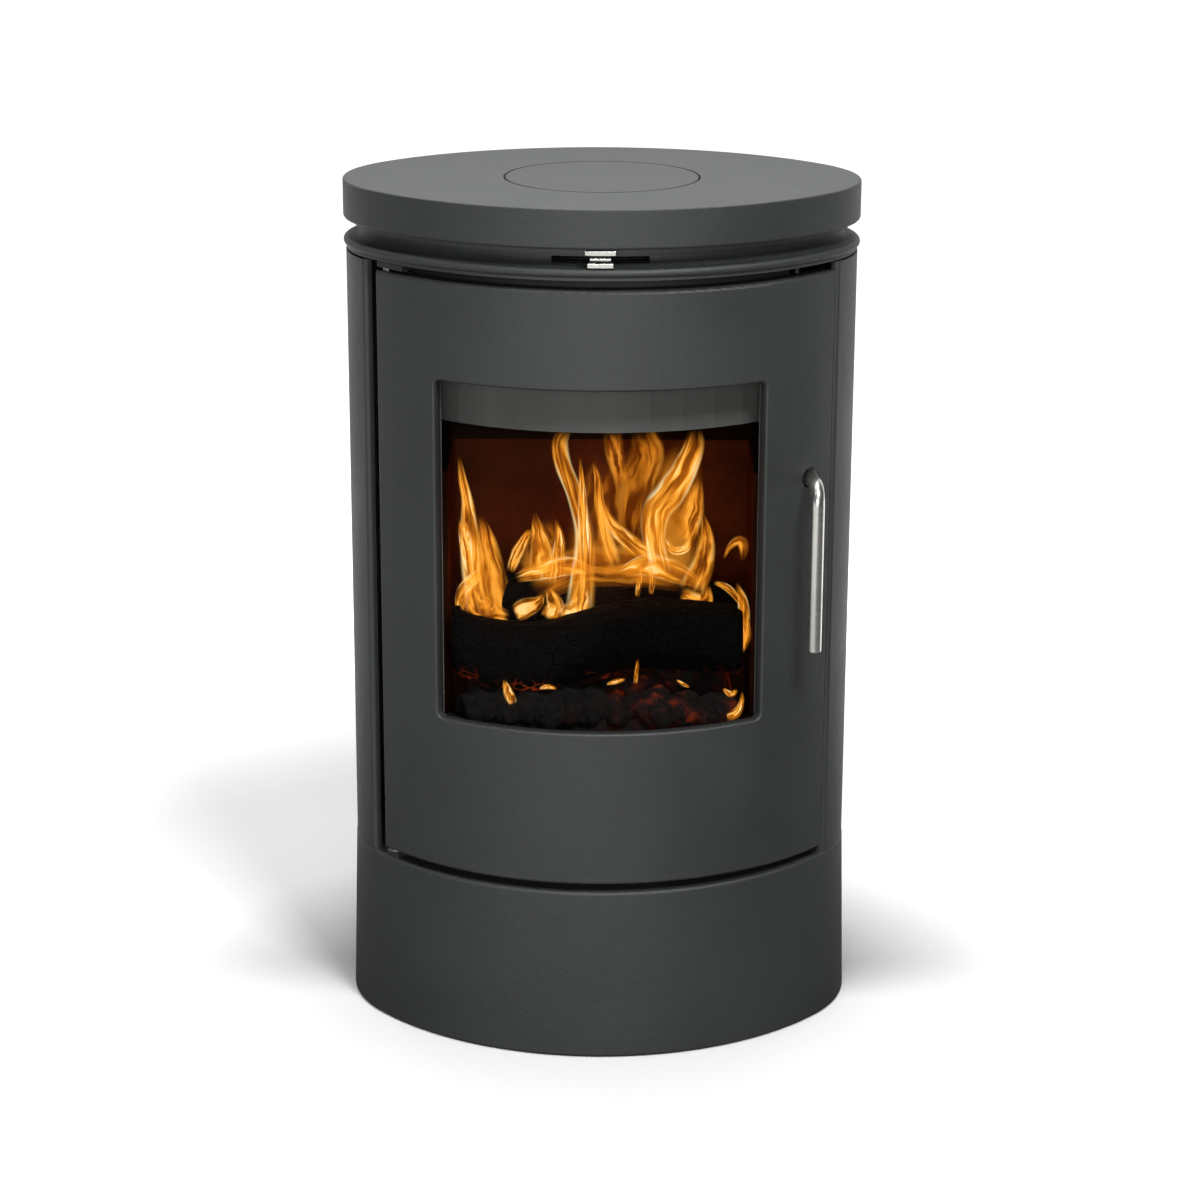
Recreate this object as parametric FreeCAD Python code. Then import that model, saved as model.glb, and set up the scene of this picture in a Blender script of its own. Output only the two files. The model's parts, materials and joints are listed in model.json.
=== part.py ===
import FreeCAD, Part
import math
import os

from FreeCAD import Vector

# A free-standing oval cast iron wood stove with a curved, glazed door.
# Millimetres, +Z up. The origin is on the floor at the centre of the oval. The door faces -Y.

# Plan of the body: four tangent arcs, wide ones at front and back, tighter ones at the sides
body_half_width = 218.5
body_half_depth = 164.5
seam_angle = 51.12

# Heights, stacked from the floor
plinth_height = 152.0
door_foot_gap = 7.0
door_height = 514.0
door_head_gap = 8.5
collar_height = 25.5
plate_height = 33.0

# Castings
panel_wall = 7.0
panel_setback = 9.0
panel_head_gap = 2.0
panel_edge_round = 4.0
firebox_wall = 6.0
plinth_wall = 8.0
plinth_flare = 4.0
plinth_top_offset = 0.5
plinth_flange = 28.0
plinth_foot_round = 3.0
hearth_thickness = 8.0
hearth_inset = 20.0
roof_thickness = 8.0
roof_inset = 14.0

# Door and its window
door_wall = 9.0
door_rim_depth = 16.0
door_rim_width = 8.0
hinge_side_gap = 16.0
latch_side_gap = 4.0
door_edge_round = 2.5
window_sill = 136.0
window_height = 295.0
window_corner = 6.0
window_edge_round = 2.0
gasket_thickness = 3.0
glass_thickness = 4.0
glass_overlap = 12.0
glass_to_seal = 14.8
seal_inset = 30.5
seal_head_inset = 9.5
seal_width = 10.5
seal_gap = 0.3
clip_length = 26.0
clip_width = 14.0
clip_thickness = 2.5
clip_screw_radius = 2.5
clip_screw_depth = 5.0
clip_share = 0.7
channel_rib = 3.0
channel_depth = 5.0

# Front frame behind the door
frame_depth = 22.0
frame_thickness = 6.0
frame_margin = 6.5
frame_head = 35.0
frame_sill = 20.0
frame_bar_height = 16.0
frame_bar_lip = 2.0

# Hinge
hinge_pin_radius = 4.0
hinge_pin_reach = 30.0
hinge_barrel_radius = 7.0
hinge_barrel_height = 40.0
hinge_depth = 8.0
hinge_lug_thickness = 4.5
hinge_lug_gap = 1.0
hinge_ear_thickness = 5.4
hinge_washer_radius = 7.5
running_clearance = 0.05
seat_clearance = 0.2
cut_over = 1.0
near = 0.01

# Handle and latch
handle_radius = 6.0
handle_rise = 341.0
handle_edge_inset = 27.6
handle_reach = 37.0
handle_bend = 15.0
handle_length = 143.0
handle_tilt = 6.0
handle_end_chamfer = 1.0
bush_wall = 3.0
bush_recess = 5.0
bush_length = 14.0
boss_wall = 4.0
cam_thickness = 7.0
cam_gap = 8.0
cam_hub_wall = 2.5
cam_nose = 16.0
keeper_height = 60.0
keeper_thickness = 5.0
keeper_reach = 26.0

# Collar between body and top plate: a foot, a bead, a hollow neck and a lip
foot_height = 2.5
foot_depth = 0.5
bead_height = 7.0
bead_proud = 2.0
neck_depth = 16.0
neck_round = 9.0
lip_height = 4.7
lip_depth = 7.0
collar_inner_depth = 22.0
collar_flange_depth = 32.0
collar_flange_thickness = 6.0

# Top plate and the lid over the top flue outlet
plate_proud = 2.0
plate_skin = 10.0
plate_rim = 14.0
plate_top_round = 1.5
plate_foot_round = 2.5
lid_thickness = 8.0
lid_gap = 1.0
lid_ledge = 7.5
lid_spigot_depth = 6.0
lid_edge_round = 0.9
outlet_boss_wall = 10.0
outlet_boss_depth = 8.0

# Flue outlet at the back, for a pipe of 150 mm
flue_bore_radius = 75.5
flue_wall = 5.0
flue_roof_gap = 1.5
flue_flange_width = 11.5
flue_flange_thickness = 6.0
flue_cover_gap = 4.0
flue_lip = 3.0
blank_overlap = 8.0
blank_thickness = 6.0
blank_edge_round = 1.5

# Firebox and its lining. A share is of the firebox's depth, measured from the back wall.
rear_air_space = 72.5
corner_clearance = 4.0
floor_lift = 90.0
floor_thickness = 12.0
ledge_width = 12.0
ledge_height = 8.0
lining_thickness = 15.0
lining_share = 0.61
rear_boards = 3
baffle_slope = 20.0
baffle_back_height = 242.0
baffle_thickness = 20.0
baffle_share = 0.59
smoke_shelf_drop = 64.0
smoke_shelf_thickness = 3.0
smoke_shelf_back_gap = 46.0
fit_gap = 0.5

# Grate, retainer and ash pan
grate_length = 190.0
grate_front_share = 0.71
grate_back_share = 0.19
grate_thickness = 12.0
grate_ledge = 6.0
grate_ledge_depth = 7.0
grate_slot = 8.0
grate_bar = 10.0
retainer_thickness = 6.0
retainer_setback = 12.0
retainer_below_window = 13.0
retainer_end_gap = 12.0
retainer_slot_width = 10.0
retainer_slot_count = 9
runner_height = 22.0
runner_width = 12.0
runner_spacing = 150.0
pan_side_gap = 25.0
pan_share = 0.79
pan_back_gap = 26.0
pan_height = 46.0
pan_sheet = 2.0
pan_corner_round = 14.0
pan_pull_length = 70.0
pan_pull_reach = 20.0
pan_pull_height = 12.0

# Bent sheet strip that leads the wash air down the glass
strip_drop = 41.0
strip_sheet = 3.0
strip_head = 20.0
strip_facets = 11

# Rear cover
cover_recess = 44.5
cover_sheet = 2.0
cover_half_width = 124.5
cover_side_gap = 1.5
cover_top_gap = 3.0
louvre_length = 84.0
louvre_height = 7.0
louvre_pitch = 22.0
louvre_rows = 7
louvre_columns = 2
louvre_first = 52.0
spacer_radius = 6.0
spacer_x = 82.0
spacer_lift = 26.0
plinth_vent_width = 190.0
plinth_vent_height = 52.0

# Tie rods
rod_radius = 4.0
rod_wall_gap = 9.5
rod_spread = 0.25
nut_across = 13.0
nut_height = 6.0

# Air control: valve seat, sliding plate with arc slots, arm and finger tab
valve_inset = 5.0
valve_width = 19.0
valve_height = 10.0
valve_half_angle = 22.0
slide_thickness = 3.0
slide_gap = 0.1
slide_travel_angle = 8.0
port_half_angle = 4.0
port_width = 10.0
port_pitch_angle = 12.0
guide_radius = 2.5
guide_clearance = 0.2
guide_angle = 18.0
guide_head_radius = 5.0
arm_width = 14.0
arm_thickness = 3.0
arm_gap = 1.2
arm_lap = 1.0
tab_top_width = 25.5
tab_foot_width = 21.5
tab_bar = 4.2
tab_rib = 2.2
tab_rib_width = 17.5
tab_web = 2.5
tab_depth = 7.0
tab_proud = 1.0
tab_clearance = 0.8
tab_edge_round = 0.6

# Fasteners
screw_radius = 3.0
screw_head_radius = 5.0
screw_head_height = 3.5

# Worked out from the sizes above
ORIGIN = Vector(0, 0, 0)
UP = Vector(0, 0, 1)
seam_turn = math.radians(seam_angle)
front_centre_y = (body_half_width - body_half_depth) / (1 + math.tan(seam_turn) - 1 / math.cos(seam_turn))
front_radius = body_half_depth + front_centre_y
side_centre_x = front_centre_y * math.tan(seam_turn)
side_radius = body_half_width - side_centre_x
FRONT = Vector(0, front_centre_y, 0)
BACK = Vector(0, -front_centre_y, 0)
RIGHT = Vector(side_centre_x, 0, 0)
LEFT = Vector(-side_centre_x, 0, 0)


def arc_angle(length, radius=front_radius):
    """The angle, in degrees, that a length takes up along a round face."""
    return math.degrees(length / radius)


door_left = -seam_angle - arc_angle(panel_setback - hinge_side_gap)
door_right = seam_angle + arc_angle(panel_setback - latch_side_gap)
seal_outer_angle = -door_left - arc_angle(seal_inset)
seal_inner_angle = seal_outer_angle - arc_angle(seal_width)
glass_angle = seal_inner_angle - arc_angle(glass_to_seal)
window_angle = glass_angle - arc_angle(glass_overlap)
frame_angle = seal_outer_angle + arc_angle(frame_margin)
frame_open_angle = seal_inner_angle - arc_angle(seal_gap)

door_bottom = plinth_height + door_foot_gap
door_top = door_bottom + door_height
window_bottom = door_bottom + window_sill
window_top = window_bottom + window_height
collar_bottom = door_top + door_head_gap
plate_bottom = collar_bottom + collar_height
plate_top = plate_bottom + plate_height
hearth_top = plinth_height + hearth_thickness
roof_bottom = collar_bottom - roof_thickness
frame_back = frame_depth + frame_thickness
frame_open_top = door_top - frame_head
frame_open_bottom = hearth_top + frame_sill
floor_top = hearth_top + floor_lift
floor_bottom = floor_top - floor_thickness
gasket_back = door_wall + gasket_thickness
glass_back = gasket_back + glass_thickness
seal_back = frame_depth - seal_gap
flue_flange_radius = flue_bore_radius + flue_wall + flue_flange_width
flue_height = roof_bottom - flue_roof_gap - flue_flange_radius
outlet_radius = flue_bore_radius + fit_gap
lid_radius = outlet_radius + lid_ledge - lid_gap

hinge_angle = door_left + arc_angle(hinge_depth)
hinge_axis = FRONT + Vector(
    (front_radius - hinge_depth) * math.sin(math.radians(hinge_angle)),
    -(front_radius - hinge_depth) * math.cos(math.radians(hinge_angle)),
    0,
)
handle_angle = door_right - arc_angle(handle_edge_inset)
handle_root = FRONT + Vector(
    front_radius * math.sin(math.radians(handle_angle)),
    -front_radius * math.cos(math.radians(handle_angle)),
    door_bottom + handle_rise,
)
boss_end = bush_recess + bush_length
cam_start = boss_end + cam_gap
cam_end = cam_start + cam_thickness
bush_radius = handle_radius + bush_wall

wall_outer_x = (front_radius - frame_back) * math.sin(math.radians(frame_angle - arc_angle(fit_gap)))
wall_inner_x = wall_outer_x - firebox_wall
panel_inside = front_radius - panel_wall - corner_clearance
corner_limit_y = math.sqrt(panel_inside**2 - wall_outer_x**2) - front_centre_y
wall_outer_y = min(body_half_depth - rear_air_space, corner_limit_y)
wall_inner_y = wall_outer_y - firebox_wall
cover_back_y = body_half_depth - cover_recess
cover_front_y = cover_back_y - cover_sheet
flue_length = body_half_depth + plinth_top_offset + plinth_flare - wall_outer_y
roof_back_y = max(wall_outer_y, outlet_radius + blank_overlap)
firebox_depth = wall_inner_y + body_half_depth - frame_back
lining_front_y = wall_inner_y - lining_share * firebox_depth
baffle_front_y = wall_inner_y - baffle_share * firebox_depth
grate_front_y = wall_inner_y - grate_front_share * firebox_depth
grate_back_y = wall_inner_y - grate_back_share * firebox_depth
pan_reach_y = (wall_inner_y - pan_share * firebox_depth, wall_inner_y - pan_back_gap)

made = {}


def keep(name, *solids):
    """Stores one named piece, or one named group of like pieces."""
    made[name] = solids[0] if len(solids) == 1 else Part.makeCompound(list(solids))


def closed_wire(points):
    """A closed outline. A point is (a, b), or (mid a, mid b, end a, end b) for an arc."""
    ends = [Vector(p[-2], 0, p[-1]) for p in points]
    edges = []
    for i, p in enumerate(points):
        start = ends[i - 1]
        if len(p) == 4:
            edges.append(Part.Arc(start, Vector(p[0], 0, p[1]), ends[i]).toShape())
        else:
            edges.append(Part.LineSegment(start, ends[i]).toShape())
    return Part.Wire(edges)


def sector(points, centre, radius, start, end):
    """Turns a (depth, height) outline about an upright axis. Angles run from -Y towards +X."""
    shifted = [tuple(v + radius if i % 2 == 0 else v for i, v in enumerate(p)) for p in points]
    face = Part.Face(closed_wire(shifted))
    face.rotate(ORIGIN, UP, start - 90)
    solid = face.revolve(ORIGIN, UP, end - start)
    solid.translate(centre)
    return solid


def rectangle(depths, heights):
    """A rectangular (depth, height) outline. Depth is negative inside the body's face."""
    return [
        (depths[0], heights[0]),
        (depths[1], heights[0]),
        (depths[1], heights[1]),
        (depths[0], heights[1]),
    ]


def front_block(depths, heights, angles):
    """A curved block on the front arc."""
    return sector(rectangle(depths, heights), FRONT, front_radius, angles[0], angles[1])


def oval_ring(points):
    """Turns one (depth, height) outline round the whole oval."""
    wide = front_radius
    spans = [
        (FRONT, wide, -seam_angle, seam_angle),
        (RIGHT, side_radius, seam_angle, 180 - seam_angle),
        (BACK, wide, 180 - seam_angle, 180 + seam_angle),
        (LEFT, side_radius, 180 + seam_angle, 360 - seam_angle),
    ]
    pieces = [sector(points, centre, radius, start, end) for centre, radius, start, end in spans]
    return pieces[0].multiFuse(pieces[1:]).removeSplitter()


def oval_point(centre, radius, angle):
    """A point of an arc of the oval, at an angle from -Y towards +X."""
    turn = math.radians(angle)
    return centre + Vector(radius * math.sin(turn), -radius * math.cos(turn), 0)


def oval_slab(offset, bottom, top):
    """A solid oval slab, offset from the body's plan."""
    wide = front_radius + offset
    tight = side_radius + offset
    s = seam_angle
    arcs = [
        (FRONT, wide, -s, s),
        (RIGHT, tight, s, 180 - s),
        (BACK, wide, 180 - s, 180 + s),
        (LEFT, tight, 180 + s, 360 - s),
    ]
    edges = []
    for centre, radius, start, end in arcs:
        middle = (start + end) / 2
        stations = [oval_point(centre, radius, a) for a in (start, middle, end)]
        edges.append(Part.Arc(*stations).toShape())
    face = Part.Face(Part.Wire(edges))
    face.translate(UP * bottom)
    return face.extrude(UP * (top - bottom))


def box(x, y, z):
    """A box from three (low, high) pairs."""
    return Part.makeBox(x[1] - x[0], y[1] - y[0], z[1] - z[0], Vector(x[0], y[0], z[0]))


def post(x, y, bottom, top, radius):
    """An upright cylinder."""
    return Part.makeCylinder(radius, top - bottom, Vector(x, y, bottom))


def prism(points, bottom, top):
    """An upright prism on a plan outline of (x, y) points."""
    corners = [Vector(x, y, bottom) for x, y in points]
    return Part.Face(Part.makePolygon(corners + corners[:1])).extrude(UP * (top - bottom))


def mirrored(shape):
    """The same piece on the other side of the stove."""
    return shape.mirror(ORIGIN, Vector(1, 0, 0))


def hexagon(x, y, bottom, top):
    """An upright hexagonal nut."""
    reach = nut_across / math.sqrt(3)
    corners = [
        (x + reach * math.cos(math.radians(60 * i)), y + reach * math.sin(math.radians(60 * i)))
        for i in range(6)
    ]
    return prism(corners, bottom, top)


def round_edges(shape, radius, wanted):
    """Rounds the edges that a test picks."""
    return shape.makeFillet(radius, [edge for edge in shape.Edges if wanted(edge)])


def on_face(edge, offset, centre=FRONT, radius=front_radius):
    """True for an edge that lies on a round face of the oval."""
    reach = radius + offset
    samples = [edge.valueAt(p) for p in (edge.FirstParameter, edge.LastParameter)]
    samples.append(edge.valueAt((edge.FirstParameter + edge.LastParameter) / 2))
    return all(abs(math.hypot(p.x - centre.x, p.y - centre.y) - reach) < near for p in samples)


def at_height(edge, height):
    """True for an edge that lies in one level plane."""
    return abs(edge.BoundBox.ZMin - height) < near and abs(edge.BoundBox.ZMax - height) < near


def offset_path(points, distance):
    """Moves an open plan path sideways, to its left, with mitred corners."""
    normals = []
    for a, b in zip(points, points[1:]):
        length = math.hypot(b[0] - a[0], b[1] - a[1])
        normals.append(((a[1] - b[1]) / length, (b[0] - a[0]) / length))
    moved = []
    for i, point in enumerate(points):
        first = normals[max(i - 1, 0)]
        second = normals[min(i, len(normals) - 1)]
        share = distance / (1 + first[0] * second[0] + first[1] * second[1])
        moved.append((point[0] + share * (first[0] + second[0]), point[1] + share * (first[1] + second[1])))
    return moved


# Plan path of the firebox's inside face, from the front right round the back to the front left
front_reach = -body_half_depth
firebox_path = [
    (wall_inner_x, front_reach),
    (wall_inner_x, wall_inner_y),
    (-wall_inner_x, wall_inner_y),
    (-wall_inner_x, front_reach),
]
firebox_outside = offset_path(firebox_path, -firebox_wall)
behind_frame = Part.makeCylinder(front_radius - frame_back, plate_top, FRONT)
clear_of_frame = Part.makeCylinder(front_radius - frame_back - fit_gap, plate_top, FRONT)


def make_plinth():
    """Flared oval skirt with a flange round its top, open below and vented at the back."""
    low = plinth_top_offset + plinth_flare
    high = plinth_top_offset
    r = plinth_foot_round
    bend = r * (1 - math.sqrt(0.5))
    outline = [
        (low - plinth_wall, 0),
        (low - r, 0),
        (low - bend, bend, low, r),
        (high, plinth_height - r),
        (high - bend, plinth_height - bend, high - r, plinth_height),
        (-plinth_flange, plinth_height),
        (-plinth_flange, plinth_height - plinth_wall),
        (high - plinth_wall, plinth_height - plinth_wall),
    ]
    skirt = oval_ring(outline)
    half = plinth_vent_width / 2
    vent = box((-half, half), (0, 2 * body_half_depth), (-plinth_wall, plinth_vent_height))
    vent = round_edges(
        vent, plinth_wall, lambda e: at_height(e, plinth_vent_height) and e.BoundBox.XLength < near
    )
    keep("base_plinth", skirt.cut(vent))


def make_hearth():
    """Bottom plate on the plinth, with the ash pan's runners and the lower hinge ear."""
    plate = oval_slab(-hearth_inset, plinth_height, hearth_top)
    wide = 2 * body_half_width
    plate = plate.cut(box((-wide, wide), (cover_back_y, wide), (0, plate_top)))
    under_walls = prism(firebox_outside, plinth_height, hearth_top).common(behind_frame)
    ear = front_block(
        (-hearth_inset - hinge_depth, -door_edge_round),
        (plinth_height, plinth_height + hinge_ear_thickness),
        (door_left, hinge_angle + arc_angle(hinge_depth)),
    )
    pieces = [under_walls, ear]
    for side in (-1, 1):
        middle = side * runner_spacing / 2
        run = (middle - runner_width / 2, middle + runner_width / 2)
        pieces.append(box(run, pan_reach_y, (hearth_top, hearth_top + runner_height)))
    plate = plate.multiFuse(pieces).removeSplitter()
    holes = [post(x, y, 0, plate_top, rod_radius) for x, y in rod_places]
    holes.append(post(hinge_axis.x, hinge_axis.y, 0, plate_top, hinge_pin_radius))
    keep("hearth_plate", plate.cut(Part.makeCompound(holes)))


def make_side_panels():
    """Outer side castings that wrap round to the back, with a rounded edge beside the door."""
    top = collar_bottom - panel_head_gap
    skin = rectangle((-panel_wall, 0), (plinth_height, top))
    start = seam_angle + arc_angle(panel_setback, side_radius)
    side = sector(skin, RIGHT, side_radius, start, 180 - seam_angle)
    back = sector(skin, BACK, front_radius, 180 - seam_angle, 180)
    panel = side.fuse(back).removeSplitter()
    opening = cover_half_width + cover_side_gap
    panel = panel.cut(box((-opening, opening), (0, 2 * body_half_depth), (0, plate_top)))
    corner = oval_point(RIGHT, side_radius, start)

    def front_edge(e):
        upright = e.BoundBox.ZLength > top / 2
        return upright and abs(e.BoundBox.XMax - corner.x) < near and abs(e.BoundBox.YMin - corner.y) < near

    panel = round_edges(panel, panel_edge_round, front_edge)
    keep("side_panel_right", panel)
    keep("side_panel_left", mirrored(panel))


def make_front_frame():
    """Curved cast frame that the door closes on: two stiles, three rails and the upper hinge lug."""
    depths = (-frame_back, -frame_depth)
    span = (-frame_open_angle, frame_open_angle)
    bar_top = floor_top + frame_bar_lip
    stile = front_block(depths, (hearth_top, collar_bottom), (frame_open_angle, frame_angle))
    rails = [
        front_block(depths, (frame_open_top, collar_bottom), span),
        front_block(depths, (bar_top - frame_bar_height, bar_top), span),
        front_block(depths, (hearth_top, frame_open_bottom), span),
    ]
    lug = front_block(
        (-frame_back, -door_edge_round),
        (hinge_lug_top - hinge_lug_thickness, hinge_lug_top),
        (door_left, -frame_angle + arc_angle(hinge_depth)),
    )
    frame = stile.fuse([mirrored(stile), lug, *rails])
    pin_hole = post(hinge_axis.x, hinge_axis.y, door_top, hinge_lug_top, hinge_pin_radius)
    keep("front_frame", frame.cut(pin_hole))


def make_firebox():
    """Left, back and right cast walls with ledges, and the roof plate over them."""

    def wall(first, last):
        plan = firebox_path[first : last + 1] + firebox_outside[first : last + 1][::-1]
        return prism(plan, hearth_top, roof_bottom).common(behind_frame)

    ledge_x = (wall_inner_x - ledge_width, wall_inner_x)
    ledge_y = (lining_front_y, wall_inner_y)
    shelf_bottom = roof_bottom - smoke_shelf_drop
    ledges = [
        box(ledge_x, ledge_y, (floor_bottom - ledge_height, floor_bottom)),
        box(ledge_x, ledge_y, (shelf_bottom - ledge_height, shelf_bottom)),
    ]
    right = wall(0, 1).multiFuse(ledges).removeSplitter()
    keep("firebox_wall_left", mirrored(right))
    keep("firebox_wall_right", right.cut(Part.makeCompound(keeper_screw_holes)))
    back = wall(1, 2)
    outlet = Part.makeCylinder(
        flue_bore_radius - flue_lip, firebox_wall, Vector(0, wall_inner_y, flue_height), Vector(0, 1, 0)
    )
    screws = [flange_screw_hole(x, z) for x, z in flange_screw_places]
    screws += [flange_screw_hole(x, z) for x, z in spacer_places]
    keep("firebox_wall_back", back.cut(Part.makeCompound([outlet] + screws)))

    roof = oval_slab(-roof_inset, roof_bottom, collar_bottom)
    wide = 2 * body_half_width
    roof = roof.cut(box((-wide, wide), (roof_back_y, wide), (0, plate_top)))
    over_walls = prism(firebox_outside, roof_bottom, collar_bottom)
    roof = roof.fuse(over_walls).removeSplitter().common(clear_of_frame)
    holes = [post(x, y, 0, plate_top, rod_radius) for x, y in rod_places]
    holes.append(post(0, 0, 0, plate_top, outlet_radius))
    holes += valve_ports(roof_bottom, collar_bottom)
    holes += [guide_post(angle, roof_bottom, collar_bottom, guide_radius) for angle in guide_angles]
    keep("firebox_roof", roof.cut(Part.makeCompound(holes)))

    blank = post(0, 0, collar_bottom, collar_bottom + blank_thickness, outlet_radius + blank_overlap)
    plug = post(0, 0, collar_bottom - blank_thickness, collar_bottom, outlet_radius - lid_gap)
    blank = round_edges(blank, blank_edge_round, lambda e: at_height(e, collar_bottom + blank_thickness))
    keep("outlet_blank", blank.fuse(plug))


def make_floor():
    """Firebox floor with a stepped opening, the slotted grate in it and the log retainer."""
    inside = offset_path(firebox_path, fit_gap)
    plate = prism(inside, floor_bottom, floor_top).common(clear_of_frame)
    grate_y = (grate_front_y, grate_back_y)
    grate_x = (-grate_length / 2, grate_length / 2)

    def inset(pair, amount):
        return (pair[0] + amount, pair[1] - amount)

    step = floor_top - grate_ledge_depth
    through = box(inset(grate_x, grate_ledge), inset(grate_y, grate_ledge), (floor_bottom, floor_top))
    seat = box(grate_x, grate_y, (step, floor_top))
    keep("firebox_floor", plate.cut(Part.makeCompound([through, seat])))

    grate = box(inset(grate_x, fit_gap), inset(grate_y, fit_gap), (step, step + grate_thickness))
    pitch = grate_slot + grate_bar
    count = int((grate_length - 2 * grate_ledge - grate_bar) // pitch)
    first = -(count - 1) * pitch / 2
    slot_y = inset(grate_y, grate_ledge + grate_bar)
    slots = []
    for i in range(count):
        middle = first + i * pitch
        slot_x = (middle - grate_slot / 2, middle + grate_slot / 2)
        slots.append(box(slot_x, slot_y, (floor_bottom, plate_top)))
    keep("grate", grate.cut(Part.makeCompound(slots)))

    back = frame_back + retainer_setback + retainer_thickness
    depths = (-back, -back + retainer_thickness)
    top = window_bottom - retainer_below_window
    reach = math.degrees(math.asin((wall_inner_x - retainer_end_gap) / (front_radius + depths[1])))
    bar = front_block(depths, (floor_top, top), (-reach, reach))
    rise = (top - floor_top) / 4
    gap = arc_angle(retainer_slot_width, front_radius - back)
    step_angle = 2 * reach / (retainer_slot_count + 1)
    cuts = []
    for i in range(retainer_slot_count):
        middle = -reach + (i + 1) * step_angle
        through = (depths[0] - cut_over, depths[1] + cut_over)
        span = (middle - gap / 2, middle + gap / 2)
        cuts.append(front_block(through, (floor_top + rise, top - rise), span))
    keep("log_retainer", bar.cut(Part.makeCompound(cuts)))


def make_lining():
    """Fireclay boards on the walls, cut to the baffle's slope, the baffle and the smoke shelf."""
    run = 4 * body_half_depth
    lowest = floor_top + baffle_back_height
    hinge_y = wall_inner_y - lining_thickness
    above = box((-run, run), (-run, run), (0, run))
    slab = box((-run, run), (-run, run), (0, baffle_thickness))
    for shape in (above, slab):
        shape.rotate(ORIGIN, Vector(1, 0, 0), -baffle_slope)
        shape.translate(Vector(0, hinge_y, lowest))
    inside_x = wall_inner_x - lining_thickness
    heights = (floor_top, roof_bottom)
    right = box((inside_x, wall_inner_x), (lining_front_y, wall_inner_y), heights).cut(above)
    keep("lining_right", right)
    keep("lining_left", mirrored(right))
    width = 2 * inside_x / rear_boards
    for i, name in enumerate(["lining_rear_left", "lining_back", "lining_rear_right"]):
        left = i * width - inside_x
        board = box((left, left + width), (wall_inner_y - lining_thickness, wall_inner_y), heights)
        keep(name, board.cut(above))

    plan = offset_path(firebox_path, fit_gap)
    cut_off = box((-run, run), (-run, baffle_front_y), (0, plate_top))
    keep("baffle_board", prism(plan, floor_top, roof_bottom).common(slab).cut(cut_off))

    shelf_bottom = roof_bottom - smoke_shelf_drop
    shelf = prism(plan, shelf_bottom, shelf_bottom + smoke_shelf_thickness)
    back_gap = box((-run, run), (wall_inner_y - smoke_shelf_back_gap, run), (0, plate_top))
    strip_face = front_radius - frame_back - strip_sheet - retainer_setback
    shelf = shelf.cut(back_gap).common(Part.makeCylinder(strip_face, plate_top, FRONT))
    keep("smoke_shelf", shelf)


def make_wash_strip():
    """Sheet strip behind the window's top, bent in flat facets and screwed to the frame's back."""
    outer = front_radius - frame_back
    reach = frame_open_angle - arc_angle(seal_gap)
    bends = [-reach + 2 * reach * i / strip_facets for i in range(strip_facets + 1)]
    corners = [oval_point(FRONT, outer, angle) for angle in bends]
    corners += [oval_point(FRONT, outer - strip_sheet, angle) for angle in bends[::-1]]
    plan = [(p.x, p.y) for p in corners]
    keep("air_wash_strip", prism(plan, window_top - strip_drop, frame_open_top + strip_head))


def make_ash_pan():
    """Folded sheet pan with a bent pull, on the hearth's runners."""
    x = (pan_side_gap - wall_inner_x, wall_inner_x - pan_side_gap)
    y = pan_reach_y
    z = (hearth_top + runner_height, hearth_top + runner_height + pan_height)
    t = pan_sheet

    def upright(e):
        return e.BoundBox.ZLength > pan_height / 2

    tray = round_edges(box(x, y, z), pan_corner_round, upright)
    hollow = box((x[0] + t, x[1] - t), (y[0] + t, y[1] - t), (z[0] + t, z[1] + t))
    tray = tray.cut(round_edges(hollow, pan_corner_round - t, upright))
    middle = (z[0] + z[1]) / 2
    height = (middle - pan_pull_height / 2, middle + pan_pull_height / 2)
    half = pan_pull_length / 2
    pull = box((-half, half), (y[0] - pan_pull_reach, y[0]), height)
    inside = box((t - half, half - t), (y[0] - pan_pull_reach + t, y[0]), height)
    keep("ash_pan", tray.fuse(pull.cut(inside)).removeSplitter())


def make_flue():
    """Rear flue spigot with its flange and screws."""
    along = Vector(0, 1, 0)
    base = Vector(0, wall_outer_y, flue_height)
    outer = flue_bore_radius + flue_wall
    tube = Part.makeCylinder(outer, flue_length, base, along)
    flange = Part.makeCylinder(flue_flange_radius, flue_flange_thickness, base, along)
    bore = Part.makeCylinder(flue_bore_radius, flue_length, base, along)
    spigot = tube.fuse(flange).cut(bore)
    holes = [flange_screw_hole(x, z) for x, z in flange_screw_places]
    keep("flue_spigot", spigot.cut(Part.makeCompound(holes)))
    face = wall_outer_y + flue_flange_thickness
    keep("flue_screws", *[flange_screw(x, z, face) for x, z in flange_screw_places])


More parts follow.
